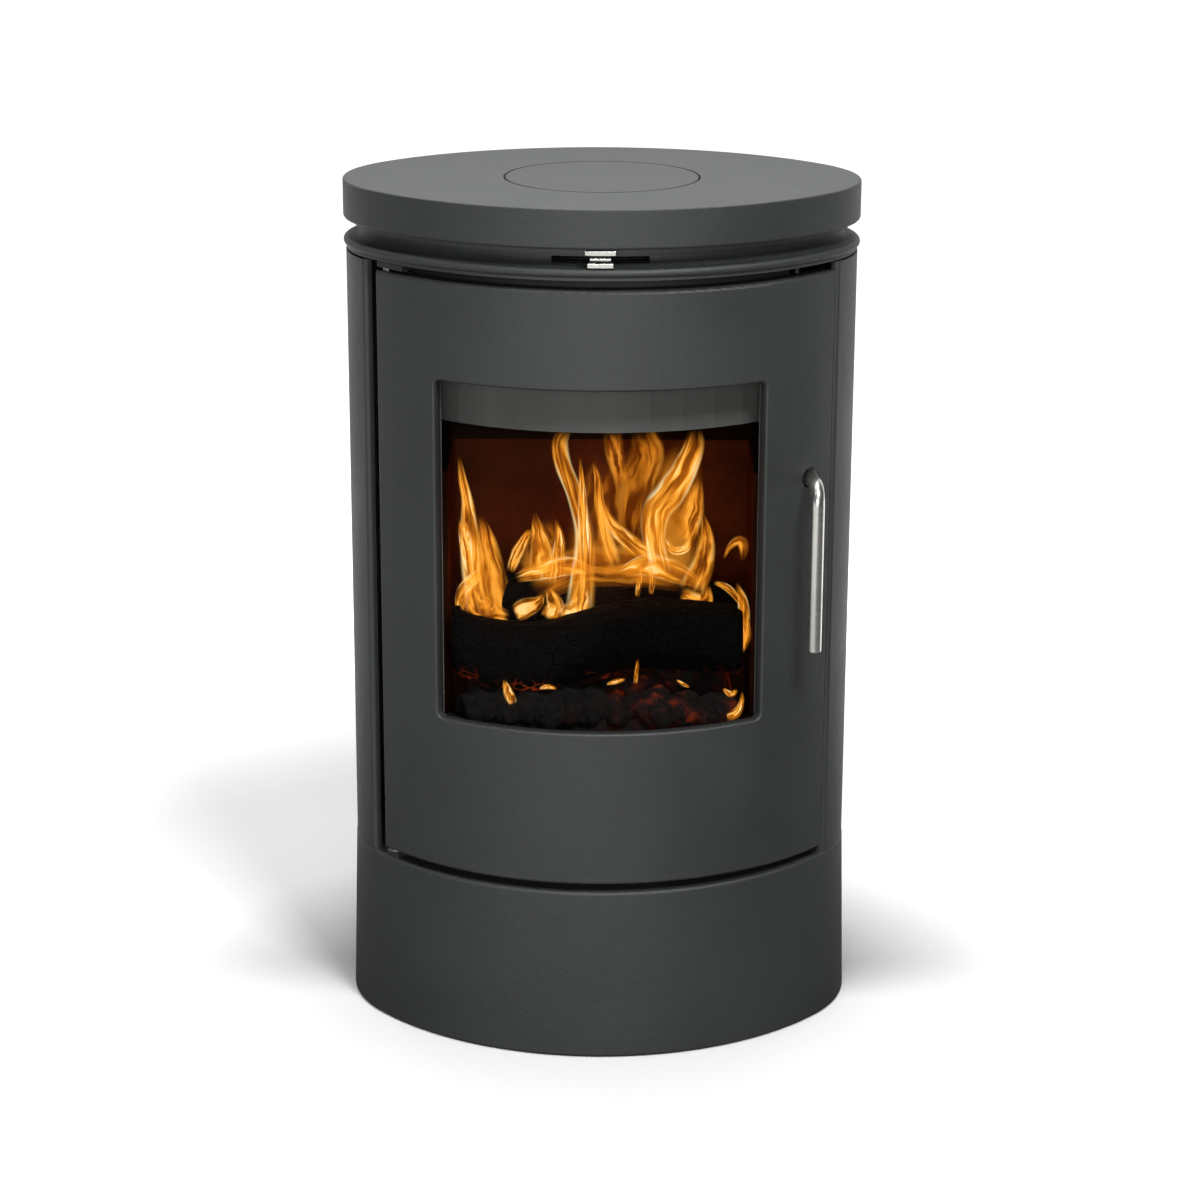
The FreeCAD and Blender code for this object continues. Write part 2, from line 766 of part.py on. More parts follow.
def make_rear_cover():
    """Flat sheet cover behind the firebox, louvred, on tubular spacers."""
    z = (hearth_top, collar_bottom - cover_top_gap)
    cover = box((-cover_half_width, cover_half_width), (cover_front_y, cover_back_y), z)
    along = Vector(0, 1, 0)
    hole_radius = flue_bore_radius + flue_wall + flue_cover_gap
    cuts = [Part.makeCylinder(hole_radius, cover_back_y, Vector(0, 0, flue_height), along)]
    cuts += [flange_screw_hole(x, z_place) for x, z_place in spacer_places]
    hoods = []
    for row in range(louvre_rows):
        low = hearth_top + louvre_first + row * louvre_pitch
        for column in range(louvre_columns):
            middle = (column - (louvre_columns - 1) / 2) * cover_half_width
            half = louvre_length / 2
            hoods.append(louvre_hood(middle, low, half, louvre_height))
            cuts.append(louvre_hood(middle, low, half - cover_sheet, louvre_height - cover_sheet))
    cover = cover.multiFuse(hoods).removeSplitter()
    keep("rear_cover", cover.cut(Part.makeCompound(cuts)))
    spacers = []
    for x, z_place in spacer_places:
        base = Vector(x, wall_outer_y, z_place)
        tube = Part.makeCylinder(spacer_radius, cover_front_y - wall_outer_y, base, along)
        spacers.append(tube.cut(flange_screw_hole(x, z_place)))
    keep("cover_spacers", *spacers)
    keep("cover_screws", *[flange_screw(x, z_place, cover_back_y) for x, z_place in spacer_places])


def louvre_hood(middle, low, half_length, height):
    """A quarter round hood with its open side down, through the sheet's thickness."""
    back = cover_back_y
    bend = height * math.sqrt(0.5)
    start = Vector(0, back + height, low)
    end = Vector(0, back, low + height)
    corner = Vector(0, cover_front_y, low + height)
    foot = Vector(0, cover_front_y, low)
    edges = [
        Part.Arc(start, Vector(0, back + bend, low + bend), end).toShape(),
        Part.makePolygon([end, corner, foot, start]),
    ]
    face = Part.Face(Part.Wire(edges))
    face.translate(Vector(middle - half_length, 0, 0))
    return face.extrude(Vector(2 * half_length, 0, 0))


def make_collar():
    """Oval collar: foot, bead, hollow neck and lip, slotted at the front for the air control."""
    low = collar_bottom + foot_height
    high = low + bead_height
    nose = bead_proud - bead_height / 2
    bend = neck_round * (1 - math.sqrt(0.5))
    outline = [
        (-collar_inner_depth, collar_bottom),
        (-foot_depth, collar_bottom),
        (-foot_depth, low),
        (nose, low),
        (bead_proud, (low + high) / 2, nose, high),
        (neck_round - neck_depth, high),
        (bend - neck_depth, high + bend, -neck_depth, high + neck_round),
        (-neck_depth, plate_bottom - lip_height),
        (-lip_depth, plate_bottom - lip_height),
        (-lip_depth, plate_bottom),
        (-collar_inner_depth, plate_bottom),
    ]
    flange = front_block(
        (-collar_flange_depth, -collar_inner_depth),
        (collar_bottom, collar_bottom + collar_flange_thickness),
        (-frame_angle, frame_angle),
    )
    ring = oval_ring(outline).fuse(flange).removeSplitter()
    reach = slide_travel_angle + arc_angle(arm_width / 2 + arm_gap)
    slot = front_block(
        (-collar_inner_depth - cut_over, -lip_depth),
        (arm_bottom - arm_gap, arm_top + arm_gap),
        (-reach, reach),
    )
    keep("top_collar", ring.cut(slot))


def make_top_plate():
    """Cast top plate, hollow below, with a recess for the lid, and the lid."""
    plate = oval_slab(plate_proud, plate_bottom, plate_top)
    plate = round_edges(plate, plate_top_round, lambda e: at_height(e, plate_top))
    plate = round_edges(plate, plate_foot_round, lambda e: at_height(e, plate_bottom))
    ceiling = plate_top - plate_skin
    plate = plate.cut(oval_slab(plate_proud - plate_rim, plate_bottom, ceiling))
    boss = post(0, 0, ceiling - outlet_boss_depth, ceiling, lid_radius + lid_gap + outlet_boss_wall)
    recess = post(0, 0, plate_top - lid_thickness, plate_top, lid_radius + lid_gap)
    opening = post(0, 0, plate_bottom, plate_top, outlet_radius)
    plate = plate.fuse(boss).removeSplitter().cut(recess).cut(opening)
    rim = lid_radius + lid_gap
    plate = round_edges(
        plate, lid_edge_round, lambda e: at_height(e, plate_top) and abs(e.BoundBox.XMax - rim) < near
    )
    keep("top_plate", plate)

    seat = plate_top - lid_thickness
    disc = post(0, 0, seat, plate_top, lid_radius)
    disc = round_edges(disc, lid_edge_round, lambda e: at_height(e, plate_top))
    spigot = post(0, 0, seat - lid_spigot_depth, seat, outlet_radius - lid_gap)
    keep("flue_lid", disc.fuse(spigot))


def make_tie_rods():
    """Rods that clamp roof and hearth together, with a nut at each end."""
    low = plinth_height - nut_height
    high = collar_bottom + nut_height
    keep("tie_rods", *[post(x, y, low, high, rod_radius) for x, y in rod_places])
    nuts = []
    for x, y in rod_places:
        hole = post(x, y, low, high, rod_radius)
        nuts.append(hexagon(x, y, low, plinth_height).cut(hole))
        nuts.append(hexagon(x, y, collar_bottom, high).cut(hole))
    keep("tie_rod_nuts", *nuts)


def make_hinge():
    """Two hinge pins and the washer that the door stands on."""
    x, y = hinge_axis.x, hinge_axis.y
    keep("hinge_pin_upper", post(x, y, door_top - hinge_pin_reach, hinge_lug_top, hinge_pin_radius))
    keep("hinge_pin_lower", post(x, y, plinth_height, door_bottom + hinge_pin_reach, hinge_pin_radius))
    seat = plinth_height + hinge_ear_thickness
    washer = post(x, y, seat, door_bottom - seat_clearance, hinge_washer_radius)
    hole = post(x, y, seat, door_bottom, hinge_pin_radius + running_clearance)
    keep("hinge_washer", washer.cut(hole))


def make_door():
    """Curved cast door: a rimmed shell with a window, rope channel, hinge barrels and handle boss."""
    heights = (door_bottom, door_top)
    span = (door_left, door_right)
    slab = front_block((-door_rim_depth, 0), heights, span)
    rim = arc_angle(door_rim_width)
    pocket = front_block(
        (-door_rim_depth - cut_over, -door_wall),
        (door_bottom + door_rim_width, door_top - door_rim_width),
        (door_left + rim, door_right - rim),
    )
    shell = slab.cut(pocket)
    shell = round_edges(shell, door_edge_round, lambda e: on_face(e, 0))
    window_heights = (window_bottom, window_top)
    window = front_block((-door_rim_depth, door_rim_depth), window_heights, (-window_angle, window_angle))

    def window_corners(e):
        return e.BoundBox.ZLength < near and e.Length < 3 * door_rim_depth and not on_face(e, door_rim_depth)

    def window_rim(e):
        inside_rim = e.BoundBox.ZMin > window_bottom - near and e.BoundBox.ZMax < window_top + near
        return inside_rim and on_face(e, 0)

    shell = shell.cut(round_edges(window, window_corner, window_corners))
    shell = round_edges(shell, window_edge_round, window_rim)
    inside = front_block((-2 * frame_depth, -cut_over), heights, span)
    extras = [upright_barrel(door_bottom), upright_barrel(door_top - hinge_barrel_height)]
    boss = along_spindle(bush_radius + boss_wall, 0, boss_end).common(inside)
    ribs = [
        seal_ring(seal_gap + channel_rib, seal_gap, channel_depth),
        seal_ring(-seal_width - seal_gap, -seal_width - seal_gap - channel_rib, channel_depth),
    ]
    shell = shell.multiFuse(extras + ribs + [boss]).removeSplitter()
    x, y = hinge_axis.x, hinge_axis.y
    bore_radius = hinge_pin_radius + running_clearance
    deep = hinge_pin_reach + cut_over
    cuts = [
        post(x, y, door_bottom, door_bottom + deep, bore_radius),
        post(x, y, door_top - deep, door_top, bore_radius),
        along_spindle(bush_radius, -2 * door_rim_depth, cam_end + cam_gap),
    ]
    cuts += [clip_screw_body(angle, z, door_wall - clip_screw_depth) for angle, z in clip_places]
    keep("door", shell.cut(Part.makeCompound(cuts)))


def upright_barrel(bottom):
    """A hinge barrel on the inside of the door's edge."""
    return post(hinge_axis.x, hinge_axis.y, bottom, bottom + hinge_barrel_height, hinge_barrel_radius)


def placed_on_spindle(shape):
    """Moves a shape from the spindle's own frame, outwards along -Y, to the door."""
    shape.rotate(ORIGIN, UP, handle_tilt)
    shape.translate(handle_root)
    return shape


def along_spindle(radius, start, end):
    """A cylinder on the spindle's axis. Distances run inwards from the door's face."""
    return placed_on_spindle(Part.makeCylinder(radius, end - start, Vector(0, start, 0), Vector(0, 1, 0)))


def make_glazing():
    """Curved glass with its gasket, and the clips and screws that hold it to the door."""
    low = window_bottom - glass_overlap
    high = window_top + glass_overlap
    span = (-glass_angle, glass_angle)
    ring = front_block((-gasket_back, -door_wall), (low, high), span)
    through = (-gasket_back - cut_over, cut_over - door_wall)
    hole = front_block(through, (window_bottom, window_top), (-window_angle, window_angle))
    keep("glass_gasket", ring.cut(hole))
    keep("door_glass", front_block((-glass_back, -gasket_back), (low, high), span))
    clips = []
    screws = []
    half = arc_angle(clip_length / 2)
    for angle, z in clip_places:
        outward = 1 if z > window_top else -1
        grip = (z - outward * clip_width, z + outward * clip_width / 2)
        heights = (min(grip), max(grip))
        span = (angle - half, angle + half)
        plate = front_block((-glass_back - clip_thickness, -glass_back), heights, span)
        foot = (z - outward * clip_screw_radius * 2, z + outward * clip_width / 2)
        block = front_block((-glass_back, -door_wall), (min(foot), max(foot)), span)
        clips.append(plate.fuse(block).removeSplitter().cut(clip_screw_body(angle, z, 0)))
        body = clip_screw_body(angle, z, door_wall - clip_screw_depth)
        start = glass_back + clip_thickness + flat_seat(2 * clip_screw_radius)
        head = radial_cylinder(angle, z, start, start + clip_screw_radius, 2 * clip_screw_radius)
        screws.append(body.fuse(head))
    keep("glass_clips", *clips)
    keep("glass_clip_screws", *screws)


def radial_cylinder(angle, z, start, end, radius):
    """A cylinder square to the door's face, between two depths."""
    middle = oval_point(FRONT, front_radius - start, angle) + UP * z
    turn = math.radians(angle)
    return Part.makeCylinder(radius, end - start, middle, Vector(-math.sin(turn), math.cos(turn), 0))


def clip_screw_body(angle, z, start):
    """The shank of a clip screw, from a depth in the door's wall to the clip's face."""
    end = glass_back + clip_thickness + flat_seat(2 * clip_screw_radius)
    return radial_cylinder(angle, z, start, end, clip_screw_radius)


def flat_seat(reach):
    """How far a flat face of a given reach stands off the door's hollow inside."""
    inside = front_radius - glass_back - clip_thickness
    return inside - math.sqrt(inside**2 - reach**2)


def seal_ring(outer, inner, thickness):
    """A ring on the door's inside. Its edges are offset from the rope seal's outer edge."""
    low = frame_open_bottom - seal_gap - seal_width
    high = door_top - seal_head_inset

    def block(offset, depths):
        reach = seal_outer_angle + arc_angle(offset)
        return front_block(depths, (low - offset, high + offset), (-reach, reach))

    back = -door_wall - thickness
    return block(outer, (back, -door_wall)).cut(block(inner, (back - cut_over, cut_over - door_wall)))


def make_door_seal():
    """Rope seal round the door's inside, closed on the frame."""
    keep("door_seal", seal_ring(0, -seal_width, seal_back - door_wall))


def make_handle():
    """Bent round bar on a spindle, with its bush, the latch cam and the keeper."""
    r = handle_radius
    straight = handle_reach - handle_bend
    spindle = Part.makeCylinder(r, straight + cam_end, Vector(0, -straight, 0), Vector(0, 1, 0))
    disc = Part.Face(Part.Wire(Part.makeCircle(r, Vector(0, -straight, 0), Vector(0, 1, 0))))
    elbow = disc.revolve(Vector(0, -straight, -handle_bend), Vector(1, 0, 0), 90)
    bar = Part.makeCylinder(r, handle_length - handle_bend, Vector(0, -handle_reach, -handle_length))
    bar = bar.makeChamfer(handle_end_chamfer, [e for e in bar.Edges if at_height(e, -handle_length)])
    handle = spindle.multiFuse([elbow, bar]).removeSplitter()
    keep("door_handle", placed_on_spindle(handle))

    sleeve = along_spindle(bush_radius, bush_recess, boss_end)
    keep("handle_bush", sleeve.cut(along_spindle(r + running_clearance, 0, cam_end)))

    hub = r + cam_hub_wall
    tip = hub / 2
    reach = tip - cam_nose
    corners = [Vector(0, 0, hub), Vector(reach, 0, tip), Vector(reach, 0, -tip), Vector(0, 0, -hub)]
    web = Part.Face(Part.makePolygon(corners + corners[:1])).extrude(Vector(0, cam_thickness, 0))
    nose = Part.makeCylinder(tip, cam_thickness, Vector(reach, 0, 0), Vector(0, 1, 0))
    disc = Part.makeCylinder(hub, cam_thickness, ORIGIN, Vector(0, 1, 0))
    cam = disc.multiFuse([web, nose]).removeSplitter()
    cam = cam.cut(Part.makeCylinder(r, cam_thickness, ORIGIN, Vector(0, 1, 0)))
    cam.translate(Vector(0, cam_start, 0))
    keep("latch_cam", placed_on_spindle(cam))


def make_keeper():
    """Hardened strip screwed to the firebox wall's outer side, beside the cam's nose."""
    middle = handle_root.z
    strip = box(
        (wall_outer_x, keeper_face),
        (keeper_y - keeper_reach / 2, keeper_y + keeper_reach / 2),
        (middle - keeper_height / 2, middle + keeper_height / 2),
    )
    keep("latch_keeper", strip.cut(Part.makeCompound(keeper_screw_holes)))
    along = Vector(1, 0, 0)
    screws = []
    for z, shank in zip(keeper_screw_heights, keeper_screw_holes):
        seat = Vector(keeper_face, keeper_y, z)
        screws.append(shank.fuse(Part.makeCylinder(screw_head_radius, screw_head_height, seat, along)))
    keep("keeper_screws", *screws)


def valve_ports(bottom, top):
    """The three curved air ports, as cutters."""
    middle = frame_back + valve_inset + valve_width / 2
    depths = (-middle - port_width / 2, -middle + port_width / 2)
    centres = [-port_pitch_angle, 0, port_pitch_angle]
    return [front_block(depths, (bottom, top), (a - port_half_angle, a + port_half_angle)) for a in centres]


def guide_post(angle, bottom, top, radius):
    """An upright cylinder at one of the slide's guides."""
    middle = frame_back + valve_inset + valve_width / 2
    place = oval_point(FRONT, front_radius - middle, angle)
    return post(place.x, place.y, bottom, top, radius)


def make_air_control():
    """Valve seat on the roof, the ported slide on it, guide screws, arm and finger tab."""
    depths = (-frame_back - valve_inset - valve_width, -frame_back - valve_inset)
    span = (-valve_half_angle, valve_half_angle)
    seat = front_block(depths, (collar_bottom, valve_top), span)
    holes = valve_ports(collar_bottom, valve_top)
    holes += [guide_post(angle, collar_bottom, valve_top, guide_radius) for angle in guide_angles]
    keep("air_valve_seat", seat.cut(Part.makeCompound(holes)))

    low = valve_top + slide_gap
    high = low + slide_thickness
    slide = front_block(depths, (low, high), span)
    middle = frame_back + valve_inset + valve_width / 2
    half = guide_radius + guide_clearance
    cuts = valve_ports(low, high)
    for angle in guide_angles:
        ends = (angle - slide_travel_angle, angle + slide_travel_angle)
        cuts.append(front_block((-middle - half, -middle + half), (low, high), ends))
        for end in ends:
            cuts.append(guide_post(end, low, high, half))
    keep("air_slide", slide.cut(Part.makeCompound(cuts)))

    guides = []
    for angle in guide_angles:
        seat = high + slide_gap
        shank = guide_post(angle, roof_bottom, seat, guide_radius)
        guides.append(shank.fuse(guide_post(angle, seat, seat + guide_radius, guide_head_radius)))
    keep("air_slide_guides", *guides)

    tab_face = math.sqrt((front_radius - tab_back) ** 2 - (arm_width / 2) ** 2)
    arm_end = front_radius - frame_back - valve_inset - valve_width / 2 + port_width / 2 + arm_lap
    arm = box(
        (-arm_width / 2, arm_width / 2),
        (front_centre_y - tab_face, front_centre_y - arm_end),
        (arm_bottom, arm_top),
    )
    keep("air_control_arm", arm)

    top = plate_bottom - tab_clearance
    foot = collar_bottom + foot_height + bead_height + tab_clearance

    def bar(width, bottom, height):
        reach = arc_angle(width / 2)
        piece = front_block((-tab_back, tab_proud), (bottom, bottom + height), (-reach, reach))
        return round_edges(piece, tab_edge_round, lambda e: on_face(e, tab_proud))

    web_reach = arc_angle(tab_rib_width / 2)
    web = front_block((-tab_back, tab_web - tab_back), (foot, top), (-web_reach, web_reach))
    rib_bottom = (foot + top) / 2 - tab_rib / 2
    pieces = [
        bar(tab_top_width, top - tab_bar, tab_bar),
        bar(tab_foot_width, foot, tab_bar),
        bar(tab_rib_width, rib_bottom, tab_rib),
    ]
    keep("air_control_tab", web.multiFuse(pieces).removeSplitter())


# Places that several pieces share
rod_x = wall_outer_x + rod_wall_gap + rod_radius
rod_y = rod_spread * side_radius
rod_places = [(sx * rod_x, sy * rod_y) for sx in (-1, 1) for sy in (-1, 1)]
spacer_places = [
    (sx * spacer_x, z) for sx in (-1, 1) for z in (hearth_top + spacer_lift, roof_bottom - spacer_lift / 2)
]
flange_screw_circle = flue_flange_radius - flue_flange_width / 2
flange_screw_reach = flange_screw_circle * math.sqrt(0.5)
flange_screw_places = [
    (sx * flange_screw_reach, flue_height + sz * flange_screw_reach) for sx in (-1, 1) for sz in (-1, 1)
]
hinge_lug_top = collar_bottom - hinge_lug_gap
valve_top = collar_bottom + valve_height
arm_bottom = valve_top + slide_gap + slide_thickness
arm_top = arm_bottom + arm_thickness
tab_back = tab_depth - tab_proud
guide_angles = (-guide_angle, guide_angle)
keeper_face = wall_outer_x + keeper_thickness
cam_middle = (cam_start + cam_end) / 2
keeper_y = handle_root.y + cam_middle * math.cos(math.radians(handle_tilt)) + keeper_reach / 4
keeper_screw_heights = [handle_root.z + side * keeper_height / 3 for side in (-1, 1)]
keeper_screw_length = keeper_face - wall_inner_x
keeper_screw_holes = [
    Part.makeCylinder(screw_radius, keeper_screw_length, Vector(wall_inner_x, keeper_y, z), Vector(1, 0, 0))
    for z in keeper_screw_heights
]
clip_angle = window_angle * clip_share
clip_places = [
    (sx * clip_angle, z)
    for sx in (-1, 1)
    for z in (
        window_bottom - glass_overlap - 2 * clip_screw_radius - fit_gap,
        window_top + glass_overlap + 2 * clip_screw_radius + fit_gap,
    )
]


def flange_screw_hole(x, z):
    """The hole of a screw along Y through the back wall and what it carries."""
    length = cover_back_y - wall_inner_y
    return Part.makeCylinder(screw_radius, length, Vector(x, wall_inner_y, z), Vector(0, 1, 0))


def flange_screw(x, z, face):
    """A screw along Y whose head sits on a face."""
    along = Vector(0, 1, 0)
    shank = Part.makeCylinder(screw_radius, face - wall_inner_y, Vector(x, wall_inner_y, z), along)
    return shank.fuse(Part.makeCylinder(screw_head_radius, screw_head_height, Vector(x, face, z), along))


make_plinth()
make_hearth()
make_side_panels()
make_front_frame()
make_firebox()
make_floor()
make_lining()
make_wash_strip()
make_ash_pan()
make_flue()
make_rear_cover()
make_collar()
make_top_plate()
make_tie_rods()
make_hinge()
make_door()
make_glazing()
make_door_seal()
make_handle()
make_keeper()
make_air_control()

os.makedirs("parts", exist_ok=True)
for name, shape in made.items():
    shape.exportStep("parts/" + name + ".step")
    state = "valid" if shape.isValid() else "INVALID"
    print(name, len(shape.Solids), "solids", round(shape.Volume), "mm3", state)
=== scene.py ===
# %% [markdown]
# # A small oval wood stove in cast iron
# This lesson dresses a stove whose castings, door, glass and controls come from a fixed CAD frame.
# The frame already has the right shapes and sizes, so the work here is light, finish and soft pieces:
# painted sand castings, a brushed handle, fibre seals, and a fire behind the glass.

# %% Load the stove's frame
import json
import math
import random

import bmesh
import bpy
from mathutils import Matrix, Vector, noise


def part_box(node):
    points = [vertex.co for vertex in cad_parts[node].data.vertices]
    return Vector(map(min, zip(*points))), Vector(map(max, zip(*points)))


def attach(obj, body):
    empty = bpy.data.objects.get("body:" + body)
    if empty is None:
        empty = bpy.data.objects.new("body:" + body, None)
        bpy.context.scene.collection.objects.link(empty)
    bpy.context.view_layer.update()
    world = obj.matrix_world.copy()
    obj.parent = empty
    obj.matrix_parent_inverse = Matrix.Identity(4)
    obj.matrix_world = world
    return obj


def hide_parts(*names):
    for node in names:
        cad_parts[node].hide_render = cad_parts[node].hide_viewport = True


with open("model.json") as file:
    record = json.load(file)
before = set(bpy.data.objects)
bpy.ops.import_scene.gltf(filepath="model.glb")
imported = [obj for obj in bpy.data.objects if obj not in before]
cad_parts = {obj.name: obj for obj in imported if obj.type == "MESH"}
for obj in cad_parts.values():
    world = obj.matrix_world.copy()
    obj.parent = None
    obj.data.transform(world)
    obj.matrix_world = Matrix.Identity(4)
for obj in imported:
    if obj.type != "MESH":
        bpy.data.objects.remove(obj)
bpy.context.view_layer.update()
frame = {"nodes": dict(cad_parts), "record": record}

MM = 0.001

# %% [markdown]
# ## Camera
# The photograph looks slightly down on the stove from standing height, through a long lens.
# A long lens far away keeps the uprights nearly parallel. The angles below were fitted to the
# ovals of the top plate and the base, so the camera is set by angles and not by aiming at a point.

# %% Set the camera
photo_pixels = 1200
focal_pixels = 3114.4
sensor_width = 36.0
camera_place = Vector((0.0160, -2.6388, 1.1630))
camera_yaw, camera_pitch, camera_roll = -0.00617, 0.29415, 0.004

forward = Vector((
    math.sin(camera_yaw) * math.cos(camera_pitch),
    math.cos(camera_yaw) * math.cos(camera_pitch),
    -math.sin(camera_pitch),
))
level_right = Vector((math.cos(camera_yaw), -math.sin(camera_yaw), 0))
level_up = level_right.cross(forward)
camera_right = level_right * math.cos(camera_roll) + level_up * math.sin(camera_roll)
camera_up = level_up * math.cos(camera_roll) - level_right * math.sin(camera_roll)
camera_axes = Matrix((camera_right, camera_up, -forward)).transposed()

camera = bpy.data.objects.new("camera", bpy.data.cameras.new("camera"))
bpy.context.collection.objects.link(camera)
camera.data.sensor_width = sensor_width
camera.data.lens = focal_pixels / photo_pixels * sensor_width
camera.matrix_world = Matrix.Translation(camera_place) @ camera_axes.to_4x4()
bpy.context.scene.camera = camera
bpy.context.scene.view_settings.view_transform = "Standard"
print("lens", round(camera.data.lens, 2), "mm")

# %% [markdown]
# ## Node helpers
# Shader trees are easier to read when a node and its links are one line.
# A value that is itself a socket becomes a link, and anything else is set on the socket.


# %% Helpers for shader trees
def put(tree, socket, value):
    """Links a socket to another one, or sets its plain value."""
    if isinstance(value, bpy.types.NodeSocket):
        tree.links.new(value, socket)
    else:
        socket.default_value = value


def add(tree, kind, inputs=(), settings=()):
    """Adds one node. Inputs are given by name or by number."""
    made = tree.nodes.new("ShaderNode" + kind)
    for name, value in dict(settings).items():
        setattr(made, name, value)
    for name, value in dict(inputs).items():
        put(tree, made.inputs[name], value)
    return made


def maths(tree, operation, first, second=0.0):
    """One sum on one or two values."""
    return add(tree, "Math", {0: first, 1: second}, {"operation": operation}).outputs[0]


def remap(tree, value, low, high, to_low=0.0, to_high=1.0):
    """Stretches a range of values to another, eased at both ends."""
    made = add(
        tree,
        "MapRange",
        {0: value, 1: low, 2: high, 3: to_low, 4: to_high},
        {"interpolation_type": "SMOOTHSTEP"},
    )
    return made.outputs[0]


def mix_colours(tree, share, first, second):
    """Goes from the first colour to the second as the share goes from 0 to 1."""
    made = add(tree, "Mix", {0: share, 6: first, 7: second}, {"data_type": "RGBA"})
    return made.outputs[2]


def ramp(tree, value, stops):
    """A colour ramp from (place, colour) stops."""
    made = add(tree, "ValToRGB", {0: value})
    elements = made.color_ramp.elements
    while len(elements) < len(stops):
        elements.new(1.0)
    for element, (place, colour) in zip(elements, stops):
        element.position = place
        element.color = (*colour, 1.0)
    return made.outputs[0]


def noise_at(tree, vector, scale, detail=2.0, roughness=0.5):
    """Soft noise, from 0 to 1, with so many features in a metre."""
    inputs = {"Vector": vector, "Scale": scale, "Detail": detail, "Roughness": roughness}
    return add(tree, "TexNoise", inputs).outputs[0]


def stretched(tree, vector, scale):
    """Coordinates stretched by a factor along each axis."""
    return add(tree, "Mapping", {"Vector": vector, "Scale": scale}).outputs[0]


def new_group(name, inputs, outputs):
    """A shader node group with float inputs and outputs, and its two end nodes."""
    tree = bpy.data.node_groups.new(name, "ShaderNodeTree")
    for label, value in inputs.items():
        socket = tree.interface.new_socket(label, in_out="INPUT", socket_type="NodeSocketFloat")
        socket.default_value = value
    for label in outputs:
        tree.interface.new_socket(label, in_out="OUTPUT", socket_type="NodeSocketFloat")
    start = tree.nodes.new("NodeGroupInput")
    end = tree.nodes.new("NodeGroupOutput")
    return tree, start, end


def use_group(tree, group, **values):
    """Places a group in a material with its own values."""
    made = tree.nodes.new("ShaderNodeGroup")
    made.node_tree = group
    for label, value in values.items():
        put(tree, made.inputs[label.replace("_", " ")], value)
    return made.outputs


def new_material(name):
    """A material with its Principled shader, ready to be fed."""
    made = bpy.data.materials.new(name)
    made.use_nodes = True
    return made, made.node_tree, made.node_tree.nodes["Principled BSDF"]


def feed(tree, shader, **values):
    """Sets the shader's sockets by name, with underscores for spaces."""
    for label, value in values.items():
        put(tree, shader.inputs[label.replace("_", " ")], value)


def bump(tree, height, distance):
    """A normal from a height, as deep as the distance in metres."""
    return add(tree, "Bump", {"Height": height, "Distance": distance, "Strength": 1.0}).outputs[0]


print("helpers ready")

# %% [markdown]
# ## Studio
# The stove stands on a seamless white floor. Near the stove the floor shows the lamps' shadows, and
# behind its front a painted shade from an occlusion node darkens it along the base. Further off it adds
# light of its own for the rays that look at it, so that it runs to white without throwing more light on
# the stove.

# %% Floor and surroundings
floor_reach = 40.0
# The floor's colour for rays that look at it, and for the light that it throws back
floor_shown, floor_bounce = (0.88, 0.88, 0.88, 1), (0.16, 0.16, 0.16, 1)
# The painted shade along the base, from an occlusion node: how far it reaches, how deep it is, and
# between which y it sets in
contact_reach, contact_depth, contact_begins = 0.19, 2.4, (-0.05, 0.06)
# The floor's own light near the stove and far off, and the distances between which it grows
lift_near, lift_far = 0.08, 1.0
lift_starts, lift_ends = 0.55, 1.10
# Where mirrors begin to see white: y on the floor, and the y of a direction into the room
floor_behind, room_behind = (0.2, 0.6), (0.42, 0.82)
room_light = 0.06


def seen_rays(tree, back, starts, ends):
    """1 for rays that look at the background, 0 for the rest. Mirrors see what lies well behind."""
    path = add(tree, "LightPath").outputs
    behind = maths(tree, "MULTIPLY", remap(tree, back, starts, ends), path["Is Glossy Ray"])
    straight = maths(tree, "MAXIMUM", path["Is Camera Ray"], path["Is Transmission Ray"])
    first = maths(tree, "LESS_THAN", path["Diffuse Depth"], 0.5)
    return maths(tree, "MULTIPLY", maths(tree, "MAXIMUM", straight, behind), first)


def make_floor():
    """A wide floor that shows the stove's shadows near it, with painted shade along its base, and runs to
    white.
    """
    mesh = bpy.data.meshes.new("studio_floor")
    r = floor_reach
    mesh.from_pydata([(-r, -r, 0), (r, -r, 0), (r, r, 0), (-r, r, 0)], [], [(0, 1, 2, 3)])
    floor = bpy.data.objects.new("studio_floor", mesh)
    bpy.context.collection.objects.link(floor)
    floor_paint = bpy.data.materials.new("studio_floor")
    floor_paint.use_nodes = True
    tree = floor_paint.node_tree
    tree.nodes.clear()
    place = add(tree, "TexCoord").outputs["Object"]
    back = add(tree, "SeparateXYZ", {0: place}).outputs[1]
    seen = seen_rays(tree, back, *floor_behind)
    # Painted shade: an occlusion node darkens the floor near the stove, behind its front
    open_sky = add(tree, "AmbientOcclusion", {"Distance": contact_reach}).outputs["AO"]
    depth = remap(tree, back, *contact_begins, 0.0, contact_depth)
    shaded = mix_colours(tree, maths(tree, "POWER", open_sky, depth), (0, 0, 0, 1), floor_shown)
    matt = add(tree, "BsdfDiffuse", {"Color": mix_colours(tree, seen, floor_bounce, shaded)})
    off = add(tree, "VectorMath", {0: place}, {"operation": "LENGTH"}).outputs["Value"]
    lift = remap(tree, off, lift_starts, lift_ends, lift_near, lift_far)
    glow = add(tree, "Emission", {"Strength": maths(tree, "MULTIPLY", seen, lift)})
    both = add(tree, "AddShader", {0: matt.outputs[0], 1: glow.outputs[0]})
    end = tree.nodes.new("ShaderNodeOutputMaterial")
    put(tree, end.inputs[0], both.outputs[0])
    mesh.materials.append(floor_paint)


